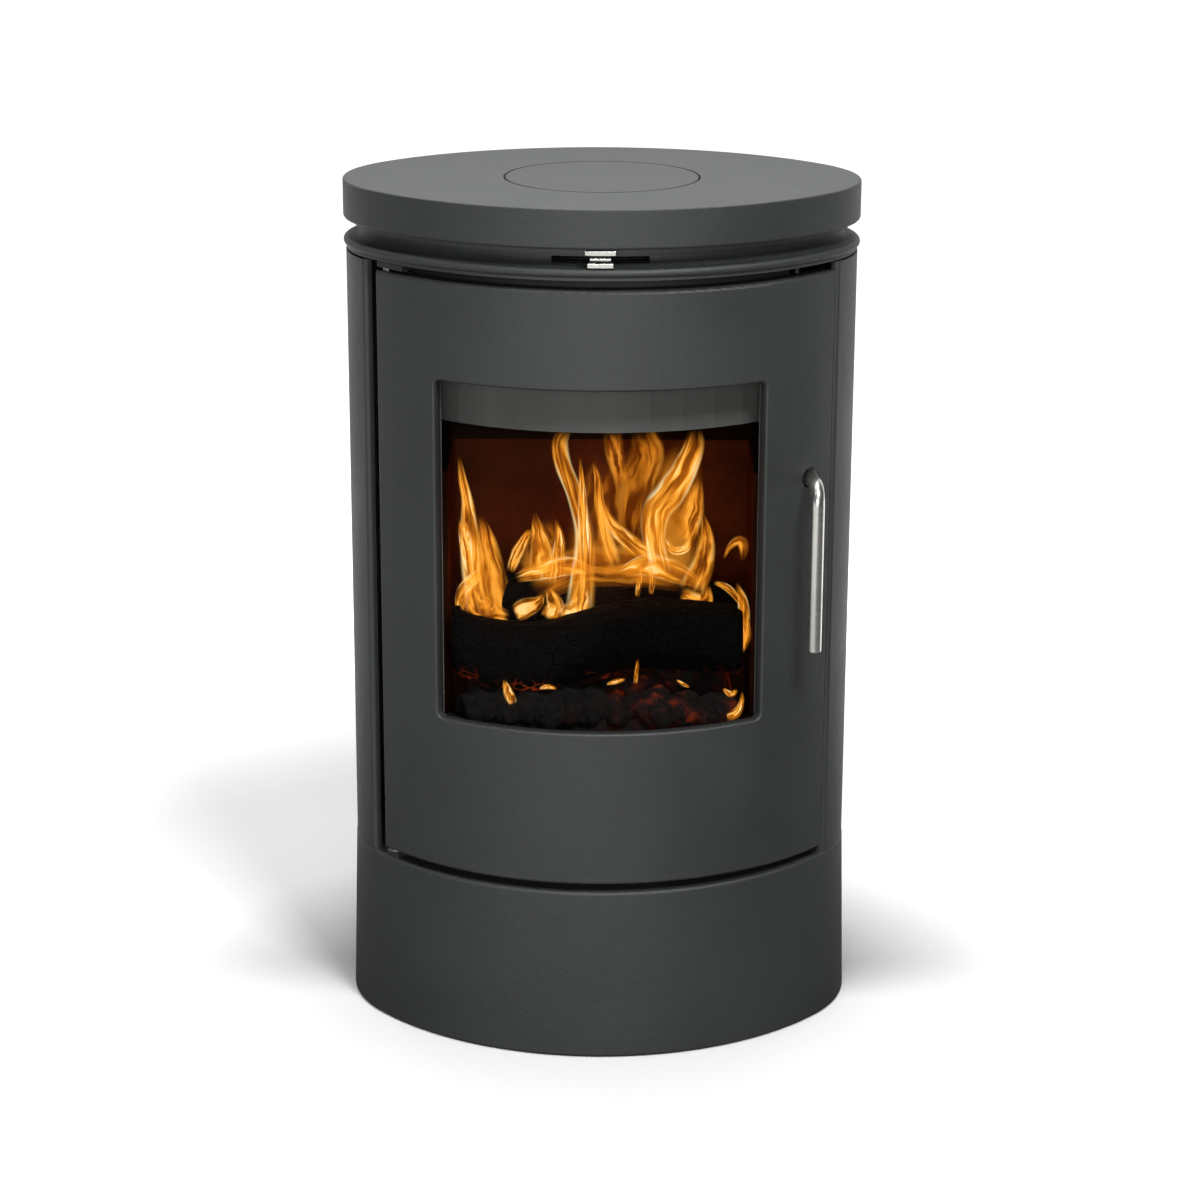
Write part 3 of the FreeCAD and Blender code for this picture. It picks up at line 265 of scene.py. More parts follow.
def make_room():
    """White behind the stove for every ray that looks there, dim before it."""
    world = bpy.data.worlds.new("studio_room")
    bpy.context.scene.world = world
    world.use_nodes = True
    tree = world.node_tree
    heading = add(tree, "SeparateXYZ", {0: add(tree, "TexCoord").outputs["Generated"]}).outputs[1]
    strength = remap(tree, seen_rays(tree, heading, *room_behind), 0.0, 1.0, room_light, 1.0)
    back = tree.nodes["Background"]
    put(tree, back.inputs["Strength"], strength)
    put(tree, back.inputs["Color"], (1, 1, 1, 1))


make_floor()
make_room()
print("floor and room made")

# %% [markdown]
# ## Lamps
# The stove is lit from the front, close to the camera, which leaves its round sides darker.
# A box overhead lights the top plate and the floor. A strong high box to the right and a faint one to
# the left give the soft shadows on the floor. A low, weak strip at the front, which the camera doesn't
# see, draws bright lines on the handle and on the bead under the neck.


# %% Softboxes
def softbox(name, place, target, wide, high, power):
    """An area lamp that faces a point. Sizes in metres, power in watts."""
    light = bpy.data.lights.new(name, "AREA")
    light.shape = "RECTANGLE"
    light.size, light.size_y = wide, high
    light.energy = power
    lamp = bpy.data.objects.new(name, light)
    bpy.context.collection.objects.link(lamp)
    lamp.location = place
    lamp.rotation_euler = (Vector(target) - Vector(place)).to_track_quat("-Z", "Y").to_euler()
    return lamp


stove_middle = (0, 0, 0.4)
softbox("front_box", (0.0, -3.0, 1.1), stove_middle, 1.0, 1.0, 28)
softbox("top_box", (0, 0.3, 2.8), stove_middle, 1.8, 1.8, 60)
softbox("right_box", (0.95, -2.1, 3.2), stove_middle, 0.7, 0.7, 82)
softbox("left_box", (-1.7, -1.9, 2.9), stove_middle, 0.7, 0.7, 5)
low_strip = softbox("low_strip", (-0.45, -1.03, 0.27), (0.19, -0.12, 0.42), 1.7, 0.5, 2.6)
low_strip.visible_camera = False
print("lamps set")

# %% [markdown]
# ## Effects that several finishes share
# Sand casting leaves a fine pebbled skin, edges get a painted highlight, and fire leaves soot.
# Each is a node group that puts out masks and heights, so every finish can use it in its own measure.

# %% Places on the stove that the finishes go by
# The arc of the curved front, in metres
door_centre_y, door_radius = 0.08345, 0.24795
lid_gap = 0.001
lid_low, lid_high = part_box("flue_lid")
lid_seam_radius = (lid_high[0] - lid_low[0] + lid_gap) / 2
# Each pair holds the two values between which a mask fades in: y of the front, heights, distances
front_begins = (-0.060, -0.066)
plinth_ends = (0.150, 0.153)
top_black_begins = (0.491, 0.495)
strip_ends = (0.660, 0.668)
bead_begins = (0.6835, 0.6815)
neck_begins, neck_ends = (0.683, 0.685), (0.714, 0.711)
lid_top_begins = (0.733, 0.737)
seam_reach = (0.0018, 0.0008)
# Depth behind the curved front at which soot and painted shade set in
soot_and_shade_depth = (0.003, 0.0075)
print("lid seam radius", round(lid_seam_radius, 5), "m")

# %% [markdown]
# Two groups tell where a point lies, so that one finish can change over a piece: how deep behind the
# curved front it is, and whether it is in the seam round the lid or in the neck.


# %% Groups that find a place
def own_place(tree):
    """The place on the piece itself, which travels with it."""
    return add(tree, "TexCoord").outputs["Object"]


def make_front_depth():
    """How far a point lies behind the curved front, in metres, and whether it is between the seams."""
    tree, _, end = new_group("front_depth", {}, ["Depth", "Between"])
    place = own_place(tree)
    flat = add(tree, "VectorMath", {0: place, 1: (0, -door_centre_y, 0)}, {"operation": "ADD"})
    level = add(tree, "VectorMath", {0: flat.outputs[0], 1: (1, 1, 0)}, {"operation": "MULTIPLY"})
    off = add(tree, "VectorMath", {0: level.outputs[0]}, {"operation": "LENGTH"}).outputs["Value"]
    put(tree, end.inputs["Depth"], maths(tree, "SUBTRACT", door_radius, off))
    along = add(tree, "SeparateXYZ", {0: place}).outputs
    front = remap(tree, along[1], *front_begins)
    level_between = maths(
        tree, "MULTIPLY", remap(tree, along[2], *bead_begins), remap(tree, along[2], *plinth_ends)
    )
    put(tree, end.inputs["Between"], maths(tree, "MULTIPLY", front, level_between))
    return tree


def make_lid_seam():
    """Painted shade along the gap round the lid, and the hollow neck, where the painted highlight on
    edges is left out.
    """
    tree, _, end = new_group("lid_seam", {}, ["Dirt", "Neck"])
    place = own_place(tree)
    level = add(tree, "VectorMath", {0: place, 1: (1, 1, 0)}, {"operation": "MULTIPLY"})
    off = add(tree, "VectorMath", {0: level.outputs[0]}, {"operation": "LENGTH"}).outputs["Value"]
    from_seam = maths(tree, "ABSOLUTE", maths(tree, "SUBTRACT", off, lid_seam_radius))
    near = remap(tree, from_seam, *seam_reach)
    height = add(tree, "SeparateXYZ", {0: place}).outputs[2]
    # Painted shade: black within a millimetre or two of the seam round the lid's top
    put(tree, end.inputs["Dirt"], maths(tree, "MULTIPLY", near, remap(tree, height, *lid_top_begins)))
    above, below = remap(tree, height, *neck_begins), remap(tree, height, *neck_ends)
    put(tree, end.inputs["Neck"], maths(tree, "MULTIPLY", above, below))
    return tree


front_depth = make_front_depth()
lid_seam = make_lid_seam()
print("groups:", [g.name for g in bpy.data.node_groups])

# %% [markdown]
# Four groups make the surface itself: the cast skin, a painted highlight on edges, soot and brush lines.


# %% Groups that make a surface
def make_cast_skin():
    """Fine grain and low lumps, and a tone of specks and clouds that goes with them."""
    tree, start, end = new_group(
        "cast_skin", {"Grain per metre": 700.0, "Lumps per metre": 110.0}, ["Height", "Tone"]
    )
    place = own_place(tree)
    grain = noise_at(tree, place, start.outputs["Grain per metre"], 3.0, 0.6)
    lumps = noise_at(tree, place, start.outputs["Lumps per metre"], 2.0)
    clouds = noise_at(tree, place, 9.0, 3.0)
    height = maths(tree, "ADD", maths(tree, "MULTIPLY", grain, 0.7), maths(tree, "MULTIPLY", lumps, 0.6))
    put(tree, end.inputs["Height"], height)
    speckle = maths(tree, "MULTIPLY", remap(tree, grain, 0.3, 0.7), 0.5)
    tone = maths(tree, "ADD", speckle, maths(tree, "MULTIPLY", remap(tree, clouds, 0.3, 0.7), 0.5))
    put(tree, end.inputs["Tone"], tone)
    return tree


def make_painted_edge_highlight():
    """1 where an edge turns within the width, 0 on the flat: the mask of a painted highlight on edges."""
    tree, start, end = new_group("painted_edge_highlight", {"Width": 0.0012}, ["Mask"])
    rounded = add(tree, "Bevel", {"Radius": start.outputs["Width"]}, {"samples": 4})
    surface = add(tree, "NewGeometry").outputs["Normal"]
    facing = add(
        tree, "VectorMath", {0: rounded.outputs[0], 1: surface}, {"operation": "DOT_PRODUCT"}
    ).outputs["Value"]
    put(tree, end.inputs["Mask"], remap(tree, facing, 0.995, 0.85))
    return tree


def make_soot():
    """Ragged patches."""
    tree, start, end = new_group("soot", {"Patches per metre": 14.0}, ["Mask"])
    place = own_place(tree)
    patches = noise_at(tree, place, start.outputs["Patches per metre"], 5.0, 0.65)
    put(tree, end.inputs["Mask"], remap(tree, patches, 0.35, 0.62))
    return tree


def make_brush_lines():
    """Fine lines round a bar or along a sheet."""
    tree, start, end = new_group("brush_lines", {"Lines per metre": 2600.0, "Length": 0.02}, ["Height"])
    place = own_place(tree)
    squeeze = add(tree, "CombineXYZ", {0: start.outputs["Length"], 1: start.outputs["Length"], 2: 1.0})
    across = add(tree, "VectorMath", {0: place, 1: squeeze.outputs[0]}, {"operation": "MULTIPLY"})
    lines = noise_at(tree, across.outputs[0], start.outputs["Lines per metre"], 2.0)
    put(tree, end.inputs["Height"], lines)
    return tree


cast_skin = make_cast_skin()
painted_edge_highlight = make_painted_edge_highlight()
soot = make_soot()
brush_lines = make_brush_lines()
print("groups:", [g.name for g in bpy.data.node_groups])

# %% [markdown]
# ## Finishes
# The outer castings carry a matt charcoal stove paint over the pebbled iron. It is nearly neutral,
# with a little green-blue in it, and a soft sheen that shows where the surface turns away.


# %% Painted castings
# How much lighter the painted highlight on edges is than the paint
highlight_gain = 2.4
# The black of soot and of painted shade
soot_and_shade_black = (0.006, 0.006, 0.006, 1)


def cast_iron_paint(name, dark, light, roughness, skin_depth):
    """Stove paint on sand-cast iron. It is black as soot and painted shade behind the curved front
    between the seams, with painted shade in the seam round the lid and a painted highlight on its edges.
    """
    made, tree, shader = new_material(name)
    skin = use_group(tree, cast_skin)
    highlight_edges = use_group(tree, painted_edge_highlight)["Mask"]
    inside = use_group(tree, front_depth)
    # Soot and painted shade: black where the piece lies behind the curved front, between the seams
    soot_and_shade = maths(tree, "MULTIPLY", remap(tree, inside["Depth"], *soot_and_shade_depth), inside["Between"])
    colour = mix_colours(tree, skin["Tone"], (*dark, 1), (*light, 1))
    highlight_colour = [highlight_gain * v for v in light]
    seam = use_group(tree, lid_seam)
    # Painted highlight on edges, left out in the hollow neck
    highlight_share = maths(tree, "MULTIPLY", highlight_edges, remap(tree, seam["Neck"], 0.0, 1.0, 0.6, 0.0))
    highlighted = mix_colours(tree, highlight_share, colour, (*highlight_colour, 1))
    blackened = maths(tree, "MAXIMUM", soot_and_shade, seam["Dirt"])
    skin_gloss = remap(tree, skin["Tone"], 0.0, 1.0, roughness - 0.05, roughness + 0.06)
    feed(
        tree,
        shader,
        Base_Color=mix_colours(tree, blackened, highlighted, soot_and_shade_black),
        Roughness=maths(tree, "MAXIMUM", skin_gloss, seam["Dirt"]),
        Normal=bump(tree, skin["Height"], skin_depth),
        Specular_IOR_Level=0.9,
    )
    return made


iron_outer = cast_iron_paint(
    "charcoal_stove_paint",
    dark=(0.0155, 0.0178, 0.0174),
    light=(0.0275, 0.0312, 0.0305),
    roughness=0.61,
    skin_depth=0.0004,
)
iron_inner = cast_iron_paint(
    "black_stove_paint",
    dark=(0.012, 0.012, 0.012),
    light=(0.020, 0.020, 0.0195),
    roughness=0.70,
    skin_depth=0.0003,
)
print("castings painted")

# %% [markdown]
# Sheet pieces are powder coated, with a painted highlight on their edges. The strip, the handle and the
# fasteners are bare steel with fine brush lines, and the finger tab is polished on its bars, with painted
# shade in the grooves between them.


# %% Sheet pieces, strip and fasteners
def black_sheet(name):
    """Thin matt black powder coat with a faint orange-peel and a painted highlight on its edges."""
    made, tree, shader = new_material(name)
    place = own_place(tree)
    peel = noise_at(tree, place, 420.0, 2.0)
    dust = remap(tree, noise_at(tree, place, 12.0, 4.0), 0.35, 0.7)
    # Painted highlight on the sheet's edges
    highlight_edges = use_group(tree, painted_edge_highlight, Width=0.0006)["Mask"]
    colour = mix_colours(tree, dust, (0.03, 0.031, 0.032, 1), (0.046, 0.047, 0.048, 1))
    feed(
        tree,
        shader,
        Base_Color=mix_colours(tree, maths(tree, "MULTIPLY", highlight_edges, 0.5), colour, (0.12, 0.12, 0.12, 1)),
        Roughness=remap(tree, dust, 0.0, 1.0, 0.42, 0.55),
        Normal=bump(tree, peel, 0.00006),
    )
    return made


def bare_steel(name, dark, light, roughness, lines_per_metre, metal=1.0, upright=1.0):
    """Plain steel with fine lines and a tone in clouds or upright bands, black as soot and painted shade
    where it lies deep behind the front above the door.
    """
    made, tree, shader = new_material(name)
    lines = use_group(tree, brush_lines, Lines_per_metre=lines_per_metre)["Height"]
    banded = stretched(tree, own_place(tree), (1, 1, upright))
    clouds = remap(tree, noise_at(tree, banded, 30.0, 3.0), 0.3, 0.7)
    shade = maths(tree, "ADD", maths(tree, "MULTIPLY", lines, 0.6), maths(tree, "MULTIPLY", clouds, 0.4))
    plain = mix_colours(tree, shade, (*dark, 1), (*light, 1))
    # Soot and painted shade: black deep behind the front, above the door
    deep = remap(tree, use_group(tree, front_depth)["Depth"], *soot_and_shade_depth)
    along = add(tree, "SeparateXYZ", {0: own_place(tree)}).outputs
    front = remap(tree, along[1], *front_begins)
    above = maths(tree, "MULTIPLY", remap(tree, along[2], *strip_ends), front)
    soot_and_shade = maths(tree, "MULTIPLY", deep, above)
    feed(
        tree,
        shader,
        Base_Color=mix_colours(tree, soot_and_shade, plain, (0.01, 0.01, 0.01, 1)),
        Metallic=metal,
        Roughness=remap(tree, lines, 0.2, 0.8, roughness - 0.05, roughness + 0.05),
        Normal=bump(tree, lines, 0.000012),
    )
    return made


def bright_tab(name):
    """Polished bars on a web that is painted black as shade in the grooves between the bars."""
    made, tree, shader = new_material(name)
    lines = use_group(tree, brush_lines, Lines_per_metre=3000.0)["Height"]
    # Painted shade: the web deeper than the bars goes black and dull
    groove_shade = remap(tree, use_group(tree, front_depth)["Depth"], 0.0006, 0.0022)
    polished = mix_colours(tree, lines, (0.56, 0.545, 0.505, 1), (0.70, 0.685, 0.64, 1))
    feed(
        tree,
        shader,
        Base_Color=mix_colours(tree, groove_shade, polished, (0.03, 0.03, 0.03, 1)),
        Metallic=remap(tree, groove_shade, 0.0, 1.0, 1.0, 0.0),
        Roughness=remap(tree, groove_shade, 0.0, 1.0, 0.22, 0.7),
        Normal=bump(tree, lines, 0.00002),
    )
    return made


sheet_steel = black_sheet("black_powder_coat")
strip_steel = bare_steel(
    "heat_dulled_strip",
    dark=(0.25, 0.26, 0.256),
    light=(0.35, 0.36, 0.352),
    roughness=0.7,
    lines_per_metre=900.0,
    metal=0.5,
    upright=0.02,
)
handle_steel = bare_steel(
    "brushed_stainless",
    dark=(0.56, 0.55, 0.52),
    light=(0.72, 0.71, 0.67),
    roughness=0.31,
    lines_per_metre=2600.0,
)
bright_steel = bare_steel(
    "zinc_plate",
    dark=(0.34, 0.34, 0.33),
    light=(0.52, 0.52, 0.50),
    roughness=0.38,
    lines_per_metre=1500.0,
)
tab_chrome = bright_tab("bright_tab")
print("steels made")

# %% [markdown]
# Inside the door there are three more: fireclay boards, black above a line near the top,
# the ceramic glass, and the fibre of the seals. The glass lets the camera look straight in, but dims the
# room's light on its way to the firebox, so that the fire stays the brightest thing in there.


# %% Fireclay, glass and fibre
def fired_board(name):
    """Pressed fireclay board, brown where clean, sooted in patches and black at the top."""
    made, tree, shader = new_material(name)
    place = own_place(tree)
    flakes = noise_at(tree, place, 260.0, 4.0, 0.7)
    sooted = use_group(tree, soot, Patches_per_metre=9.0)["Mask"]
    height = add(tree, "SeparateXYZ", {0: place}).outputs[2]
    # Black above a height near the top of the boards
    black = remap(tree, height, *top_black_begins)
    soot_and_top_black = maths(tree, "MAXIMUM", maths(tree, "MULTIPLY", sooted, 0.5), black)
    clay = mix_colours(tree, flakes, (0.070, 0.020, 0.005, 1), (0.105, 0.032, 0.009, 1))
    feed(
        tree,
        shader,
        Base_Color=mix_colours(tree, soot_and_top_black, clay, (0.003, 0.002, 0.0015, 1)),
        Roughness=remap(tree, flakes, 0.3, 0.7, 0.82, 0.95),
        Specular_IOR_Level=0.1,
        Normal=bump(tree, flakes, 0.0004),
    )
    return made


def stove_glass(name):
    """Ceramic glass, clear to look through, that dims light on its way to other surfaces."""
    made, tree, shader = new_material(name)
    smear = noise_at(tree, own_place(tree), 40.0, 3.0)
    feed(
        tree,
        shader,
        Base_Color=(0.98, 0.96, 0.93, 1),
        Roughness=remap(tree, smear, 0.4, 0.7, 0.0, 0.03),
        IOR=1.06,
        Transmission_Weight=1.0,
    )
    clear = add(tree, "BsdfTransparent", {"Color": (0.62, 0.62, 0.62, 1)})
    path = add(tree, "LightPath").outputs
    mirrored = maths(tree, "SUBTRACT", path["Is Glossy Ray"], path["Is Transmission Ray"])
    bounced = maths(tree, "MAXIMUM", path["Is Diffuse Ray"], mirrored)
    lighting = maths(tree, "MAXIMUM", path["Is Shadow Ray"], bounced)
    both = add(tree, "MixShader", {0: lighting, 1: shader.outputs[0], 2: clear.outputs[0]})
    put(tree, tree.nodes["Material Output"].inputs["Surface"], both.outputs[0])
    return made


def fibre_braid(name):
    """Grey glass-fibre yarn, fuzzy and matt."""
    made, tree, shader = new_material(name)
    place = own_place(tree)
    fuzz = noise_at(tree, place, 1500.0, 3.0, 0.7)
    grime = remap(tree, noise_at(tree, place, 25.0, 4.0), 0.35, 0.65)
    yarn = mix_colours(tree, fuzz, (0.06, 0.06, 0.058, 1), (0.16, 0.155, 0.15, 1))
    feed(
        tree,
        shader,
        Base_Color=mix_colours(tree, maths(tree, "MULTIPLY", grime, 0.6), yarn, (0.03, 0.028, 0.026, 1)),
        Roughness=remap(tree, fuzz, 0.3, 0.7, 0.85, 1.0),
        Normal=bump(tree, fuzz, 0.0004),
        Sheen_Weight=0.2,
    )
    return made


fireclay = fired_board("sooted_fireclay")
glass = stove_glass("ceramic_glass")
seal_rope = fibre_braid("fibre_rope")
print("lining, glass and fibre made")

# %% [markdown]
# ## Putting the finishes on
# Each node of the frame names the finish it takes, so one table from finish name to material dresses
# the whole stove.

# %% Dress the frame's nodes
finishes = {
    "iron_outer": iron_outer,
    "iron_inner": iron_inner,
    "sheet_steel": sheet_steel,
    "strip_steel": strip_steel,
    "fireclay": fireclay,
    "glass": glass,
    "seal_rope": seal_rope,
    "handle_steel": handle_steel,
    "tab_chrome": tab_chrome,
    "bright_steel": bright_steel,
}
for row in frame["record"]["subparts"]:
    node = frame["nodes"][row["node"]]
    node.data.materials.clear()
    node.data.materials.append(finishes[row["material_slot"]])

# %% [markdown]
# ## Seals
# The door closes on a braided fibre rope, and the glass lies on a flat woven tape. Both are soft, so
# the frame's plain rings are replaced: one function lays a braid along a rounded rectangle on the
# door's curved inside, and its strands are real ridges that cross over each other.


# %% Make a piece, and a path round the door
def new_piece(name, points, faces, material, body):
    """A smooth mesh with one material that rides on a body."""
    mesh = bpy.data.meshes.new(name)
    mesh.from_pydata(points, [], faces)
    mesh.validate()
    mesh.materials.append(material)
    mesh.shade_smooth()
    piece = bpy.data.objects.new(name, mesh)
    bpy.context.collection.objects.link(piece)
    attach(piece, body)
    return piece


def ring_path(half_width, low, high, corner, step):
    """Points round a rounded rectangle, each with its outward direction, both as (along, up)."""
    path = []
    upper, lower = high - corner, low + corner
    for side, level, start in [(1, upper, 0), (-1, upper, 90), (-1, lower, 180), (1, lower, 270)]:
        centre = Vector((side * (half_width - corner), level))
        turns = max(6, round(corner * math.pi / 2 / step))
        for i in range(turns + 1):
            turn = math.radians(start + 90 * i / turns)
            out = Vector((math.cos(turn), math.sin(turn)))
            path.append((centre + out * corner, out))
    whole = []
    for (here, out), (there, next_out) in zip(path, path[1:] + path[:1]):
        count = max(1, round((there - here).length / step))
        for i in range(count):
            share = i / count
            whole.append((here.lerp(there, share), out.lerp(next_out, share).normalized()))
    return whole


print("piece and path helpers ready")


# %% Lay a braid round the door
def lay_braid(name, node, half_width, depth, wide, deep, corner, strands, pitch, swell, step, sides):
    """A braid on the door's inside in the place of a CAD ring. Sizes in metres.

    Depth is behind the door's face, wide and deep are half sizes, and swell is the strands' height.
    """
    lowest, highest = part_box(node)
    path = ring_path(half_width, lowest[2] + wide, highest[2] - wide, corner, step)
    points, faces = [], []
    rings = len(path)
    turns = max(1, round(rings * step / pitch))
    for i, (middle, out) in enumerate(path):
        run = 2 * math.pi * turns * i / rings
        for j in range(sides):
            round_turn = 2 * math.pi * j / sides
            left = math.cos(strands / 2 * (round_turn + run / strands * 2)) ** 2
            right = math.cos(strands / 2 * (round_turn - run / strands * 2)) ** 2
            grow = swell * (max(left, right) - 1)
            spot = middle + out * ((wide + grow) * math.cos(round_turn))
            inset = depth + (deep + grow) * math.sin(round_turn)
            angle = spot.x / door_radius
            reach = door_radius - inset
            points.append((reach * math.sin(angle), door_centre_y - reach * math.cos(angle), spot.y))
            a, b = i * sides + j, i * sides + (j + 1) % sides
            c, d = (i + 1) % rings * sides + (j + 1) % sides, (i + 1) % rings * sides + j
            faces.append((a, b, c, d))
    piece = new_piece(name, points, faces, seal_rope, "door")
    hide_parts(node)
    return piece


lay_braid(
    "rope_braid",
    "door_seal",
    half_width=0.17847,
    depth=0.01535,
    wide=0.0051,
    deep=0.0061,
    corner=0.006,
    strands=6,
    pitch=0.022,
    swell=0.0011,
    step=0.0014,
    sides=24,
)
lay_braid(
    "glass_tape",
    "glass_gasket",
    half_width=0.15242,
    depth=0.0105,
    wide=0.0058,
    deep=0.0014,
    corner=0.0065,
    strands=10,
    pitch=0.012,
    swell=0.0003,
    step=0.0016,
    sides=20,
)
print("rope and tape laid")

# %% [markdown]
# ## Logs and embers
# A fire burns in the photograph. It isn't part of the stove, but it rides on the body so that the
# window isn't empty. Two charred logs lie on a bed of embers. A log is a ring swept along a bent line
# and roughened with noise, and the bed is a mound with broken lumps of charcoal on it.


# %% Charred wood and embers
def cracks_at(tree, place, scale):
    """The distance to the nearest crack of a cracked skin, with so many cells in a metre."""
    inputs = {"Vector": place, "Scale": scale}
    return add(tree, "TexVoronoi", inputs, {"feature": "DISTANCE_TO_EDGE"}).outputs["Distance"]


def charred_wood(name):
    """Black alligator-cracked char with a little red left in the cracks underneath."""
    made, tree, shader = new_material(name)
    place = own_place(tree)
    cracks = cracks_at(tree, place, 95.0)
    grain = noise_at(tree, stretched(tree, place, (0.25, 1, 1)), 160.0, 4.0)
    split = remap(tree, cracks, 0.0, 0.12)
    height = maths(tree, "ADD", split, maths(tree, "MULTIPLY", grain, 0.5))
    low = remap(tree, add(tree, "SeparateXYZ", {0: place}).outputs[2], 0.335, 0.318)
    lit = remap(tree, noise_at(tree, place, 24.0, 3.0), 0.52, 0.68)
    glow = maths(tree, "MULTIPLY", maths(tree, "MULTIPLY", low, lit), remap(tree, cracks, 0.10, 0.0))
    feed(
        tree,
        shader,
        Base_Color=mix_colours(tree, grain, (0.0015, 0.0013, 0.0012, 1), (0.0055, 0.0048, 0.0044, 1)),
        Roughness=remap(tree, grain, 0.3, 0.7, 0.8, 0.95),
        Specular_IOR_Level=0.1,
        Normal=bump(tree, height, 0.0012),
        Emission_Color=mix_colours(tree, glow, (0, 0, 0, 1), (0.25, 0.028, 0.002, 1)),
        Emission_Strength=1.0,
    )
    return made


def glowing_char(name):
    """Charcoal that is black outside and red where it has broken, in patches and towards the right-hand
    side of the bed.
    """
    made, tree, shader = new_material(name)
    place = own_place(tree)
    cracks = cracks_at(tree, place, 130.0)
    ash = noise_at(tree, place, 210.0, 4.0)
    patches = remap(tree, noise_at(tree, place, 17.0, 3.0), 0.47, 0.66)
    side = remap(tree, add(tree, "SeparateXYZ", {0: place}).outputs[0], 0.090, 0.130)
    warm = maths(tree, "MAXIMUM", maths(tree, "MULTIPLY", patches, 0.8), side)
    fine = remap(tree, noise_at(tree, place, 75.0, 3.0), 0.42, 0.62)
    broken = maths(tree, "MAXIMUM", remap(tree, cracks, 0.05, 0.0, 0.0, 0.6), fine)
    ember_colours = [
        (0.0, (0, 0, 0)),
        (0.45, (0.012, 0.001, 0.0001)),
        (0.8, (0.09, 0.008, 0.0005)),
        (1.0, (0.40, 0.05, 0.004)),
    ]
    heat = ramp(tree, maths(tree, "MULTIPLY", warm, broken), ember_colours)
    feed(
        tree,
        shader,
        Base_Color=mix_colours(tree, ash, (0.003, 0.0026, 0.0025, 1), (0.015, 0.013, 0.012, 1)),
        Roughness=remap(tree, ash, 0.3, 0.7, 0.85, 1.0),
        Normal=bump(tree, ash, 0.0008),
        Emission_Color=heat,
        Emission_Strength=1.0,
    )
    return made


char = charred_wood("charred_wood")
embers = glowing_char("ember_charcoal")
print("char and embers made")

# %% [markdown]
# Each log is given by its ends, its depth into the fire and the line of its upper edge, in millimetres.


# %% Logs
def smooth_line(stops, places):
    """Values on a smooth curve through (place, value) stops."""
    values = []
    for place in places:
        i = max(0, min(len(stops) - 2, sum(place >= s for s, _ in stops) - 1))
        (s1, v1), (s2, v2) = stops[i], stops[i + 1]
        s0, v0 = stops[max(i - 1, 0)]
        s3, v3 = stops[min(i + 2, len(stops) - 1)]
        t = (place - s1) / (s2 - s1)
        m1 = (v2 - v0) / (s2 - s0) * (s2 - s1)
        m2 = (v3 - v1) / (s3 - s1) * (s2 - s1)
        near = (2 * t**3 - 3 * t**2 + 1) * v1 + (t**3 - 2 * t**2 + t) * m1
        values.append(near + (3 * t**2 - 2 * t**3) * v2 + (t**3 - t**2) * m2)
    return values


def make_log(name, start, end, back, half_deep, tops, thick, square, seed):
    """A split log across the fire. Sizes in millimetres; tops are (x, z) stops of its upper edge."""
    rings, sides = 110, 44
    swell_height, flake_height = 2.6, 1.1
    points, faces = [], []
    places = [start + (end - start) * i / (rings - 1) for i in range(rings)]
    levels = smooth_line(tops, places)
    for i, (x, top) in enumerate(zip(places, levels)):
        near_end = min(i, rings - 1 - i)
        closing = min(1.0, 0.90 + 0.05 * near_end)
        for j in range(sides):
            turn = 2 * math.pi * j / sides
            dy, dz = math.cos(turn), math.sin(turn)
            power = (abs(dy) ** square + abs(dz) ** square) ** (-1 / square)
            swells = noise.noise(Vector((x * 0.02, 9 * dy, 9 * dz + seed)) * 0.35)
            flakes = noise.noise(Vector((x * 0.10, 6 * dy, 6 * dz + seed)))
            rough = swells * swell_height + flakes * flake_height
            y = back + closing * (half_deep + rough) * dy * power
            z = top - thick / 2 + closing * (thick / 2 + rough) * dz * power
            points.append((x * MM, y * MM, z * MM))
            if i + 1 < rings:
                k = (j + 1) % sides
                faces.append((i * sides + j, i * sides + k, (i + 1) * sides + k, (i + 1) * sides + j))
    faces.append(tuple(reversed(range(sides))))
    faces.append(tuple((rings - 1) * sides + j for j in range(sides)))
    piece = new_piece(name, points, faces, char, "body")
    piece.data.set_sharp_from_angle(angle=math.radians(50))
    return piece


front_tops = [
    (-127, 379),
    (-105, 371),
    (-85, 366),
    (-55, 364),
    (-25, 371),
    (0, 378),
    (40, 384),
    (80, 382),
    (123, 379),
]
back_tops = [(-92, 390), (-40, 389), (20, 386), (118, 382)]
make_log(
    "fire_log_front",
    start=-127,
    end=123,
    back=-70,
    half_deep=26,
    tops=front_tops,
    thick=58,
    square=2.6,
    seed=3.0,
)
make_log(
    "fire_log_back",
    start=-92,
    end=118,
    back=-14,
    half_deep=22,
    tops=back_tops,
    thick=52,
    square=4.0,
    seed=11.0,
)
print("logs laid")

# %% [markdown]
# The bed is a closed mound that rises towards the back. Lumps of charcoal are pressed into it, many of
# them along the front edge, where the window shows them.


# %% Ember bed
bed_left, bed_right, bed_front, bed_back, bed_floor = -119, 119, -99, 58, 257.5
bed_across, bed_along = 60, 40
lump_count, front_lump_share, lump_lift = 120, 0.45, 0.35
lump_skin_scale, lump_skin_height = 0.11, 2.2


def bed_top(x, y):
    """The height of the mound at a place, in millimetres."""
    edge = min(x - bed_left, bed_right - x, y - bed_front, bed_back - y)
    slope = min(1.0, max(0.0, (y - bed_front) / 60))
    rise = 20 + 26 * slope + 8 * noise.noise(Vector((x, y, 7)) * 0.03)
    bumps = 2.5 * noise.noise(Vector((x, y, 1)) * 0.12)
    return bed_floor + 3 + rise * min(1.0, (edge + 4) / 16) + bumps


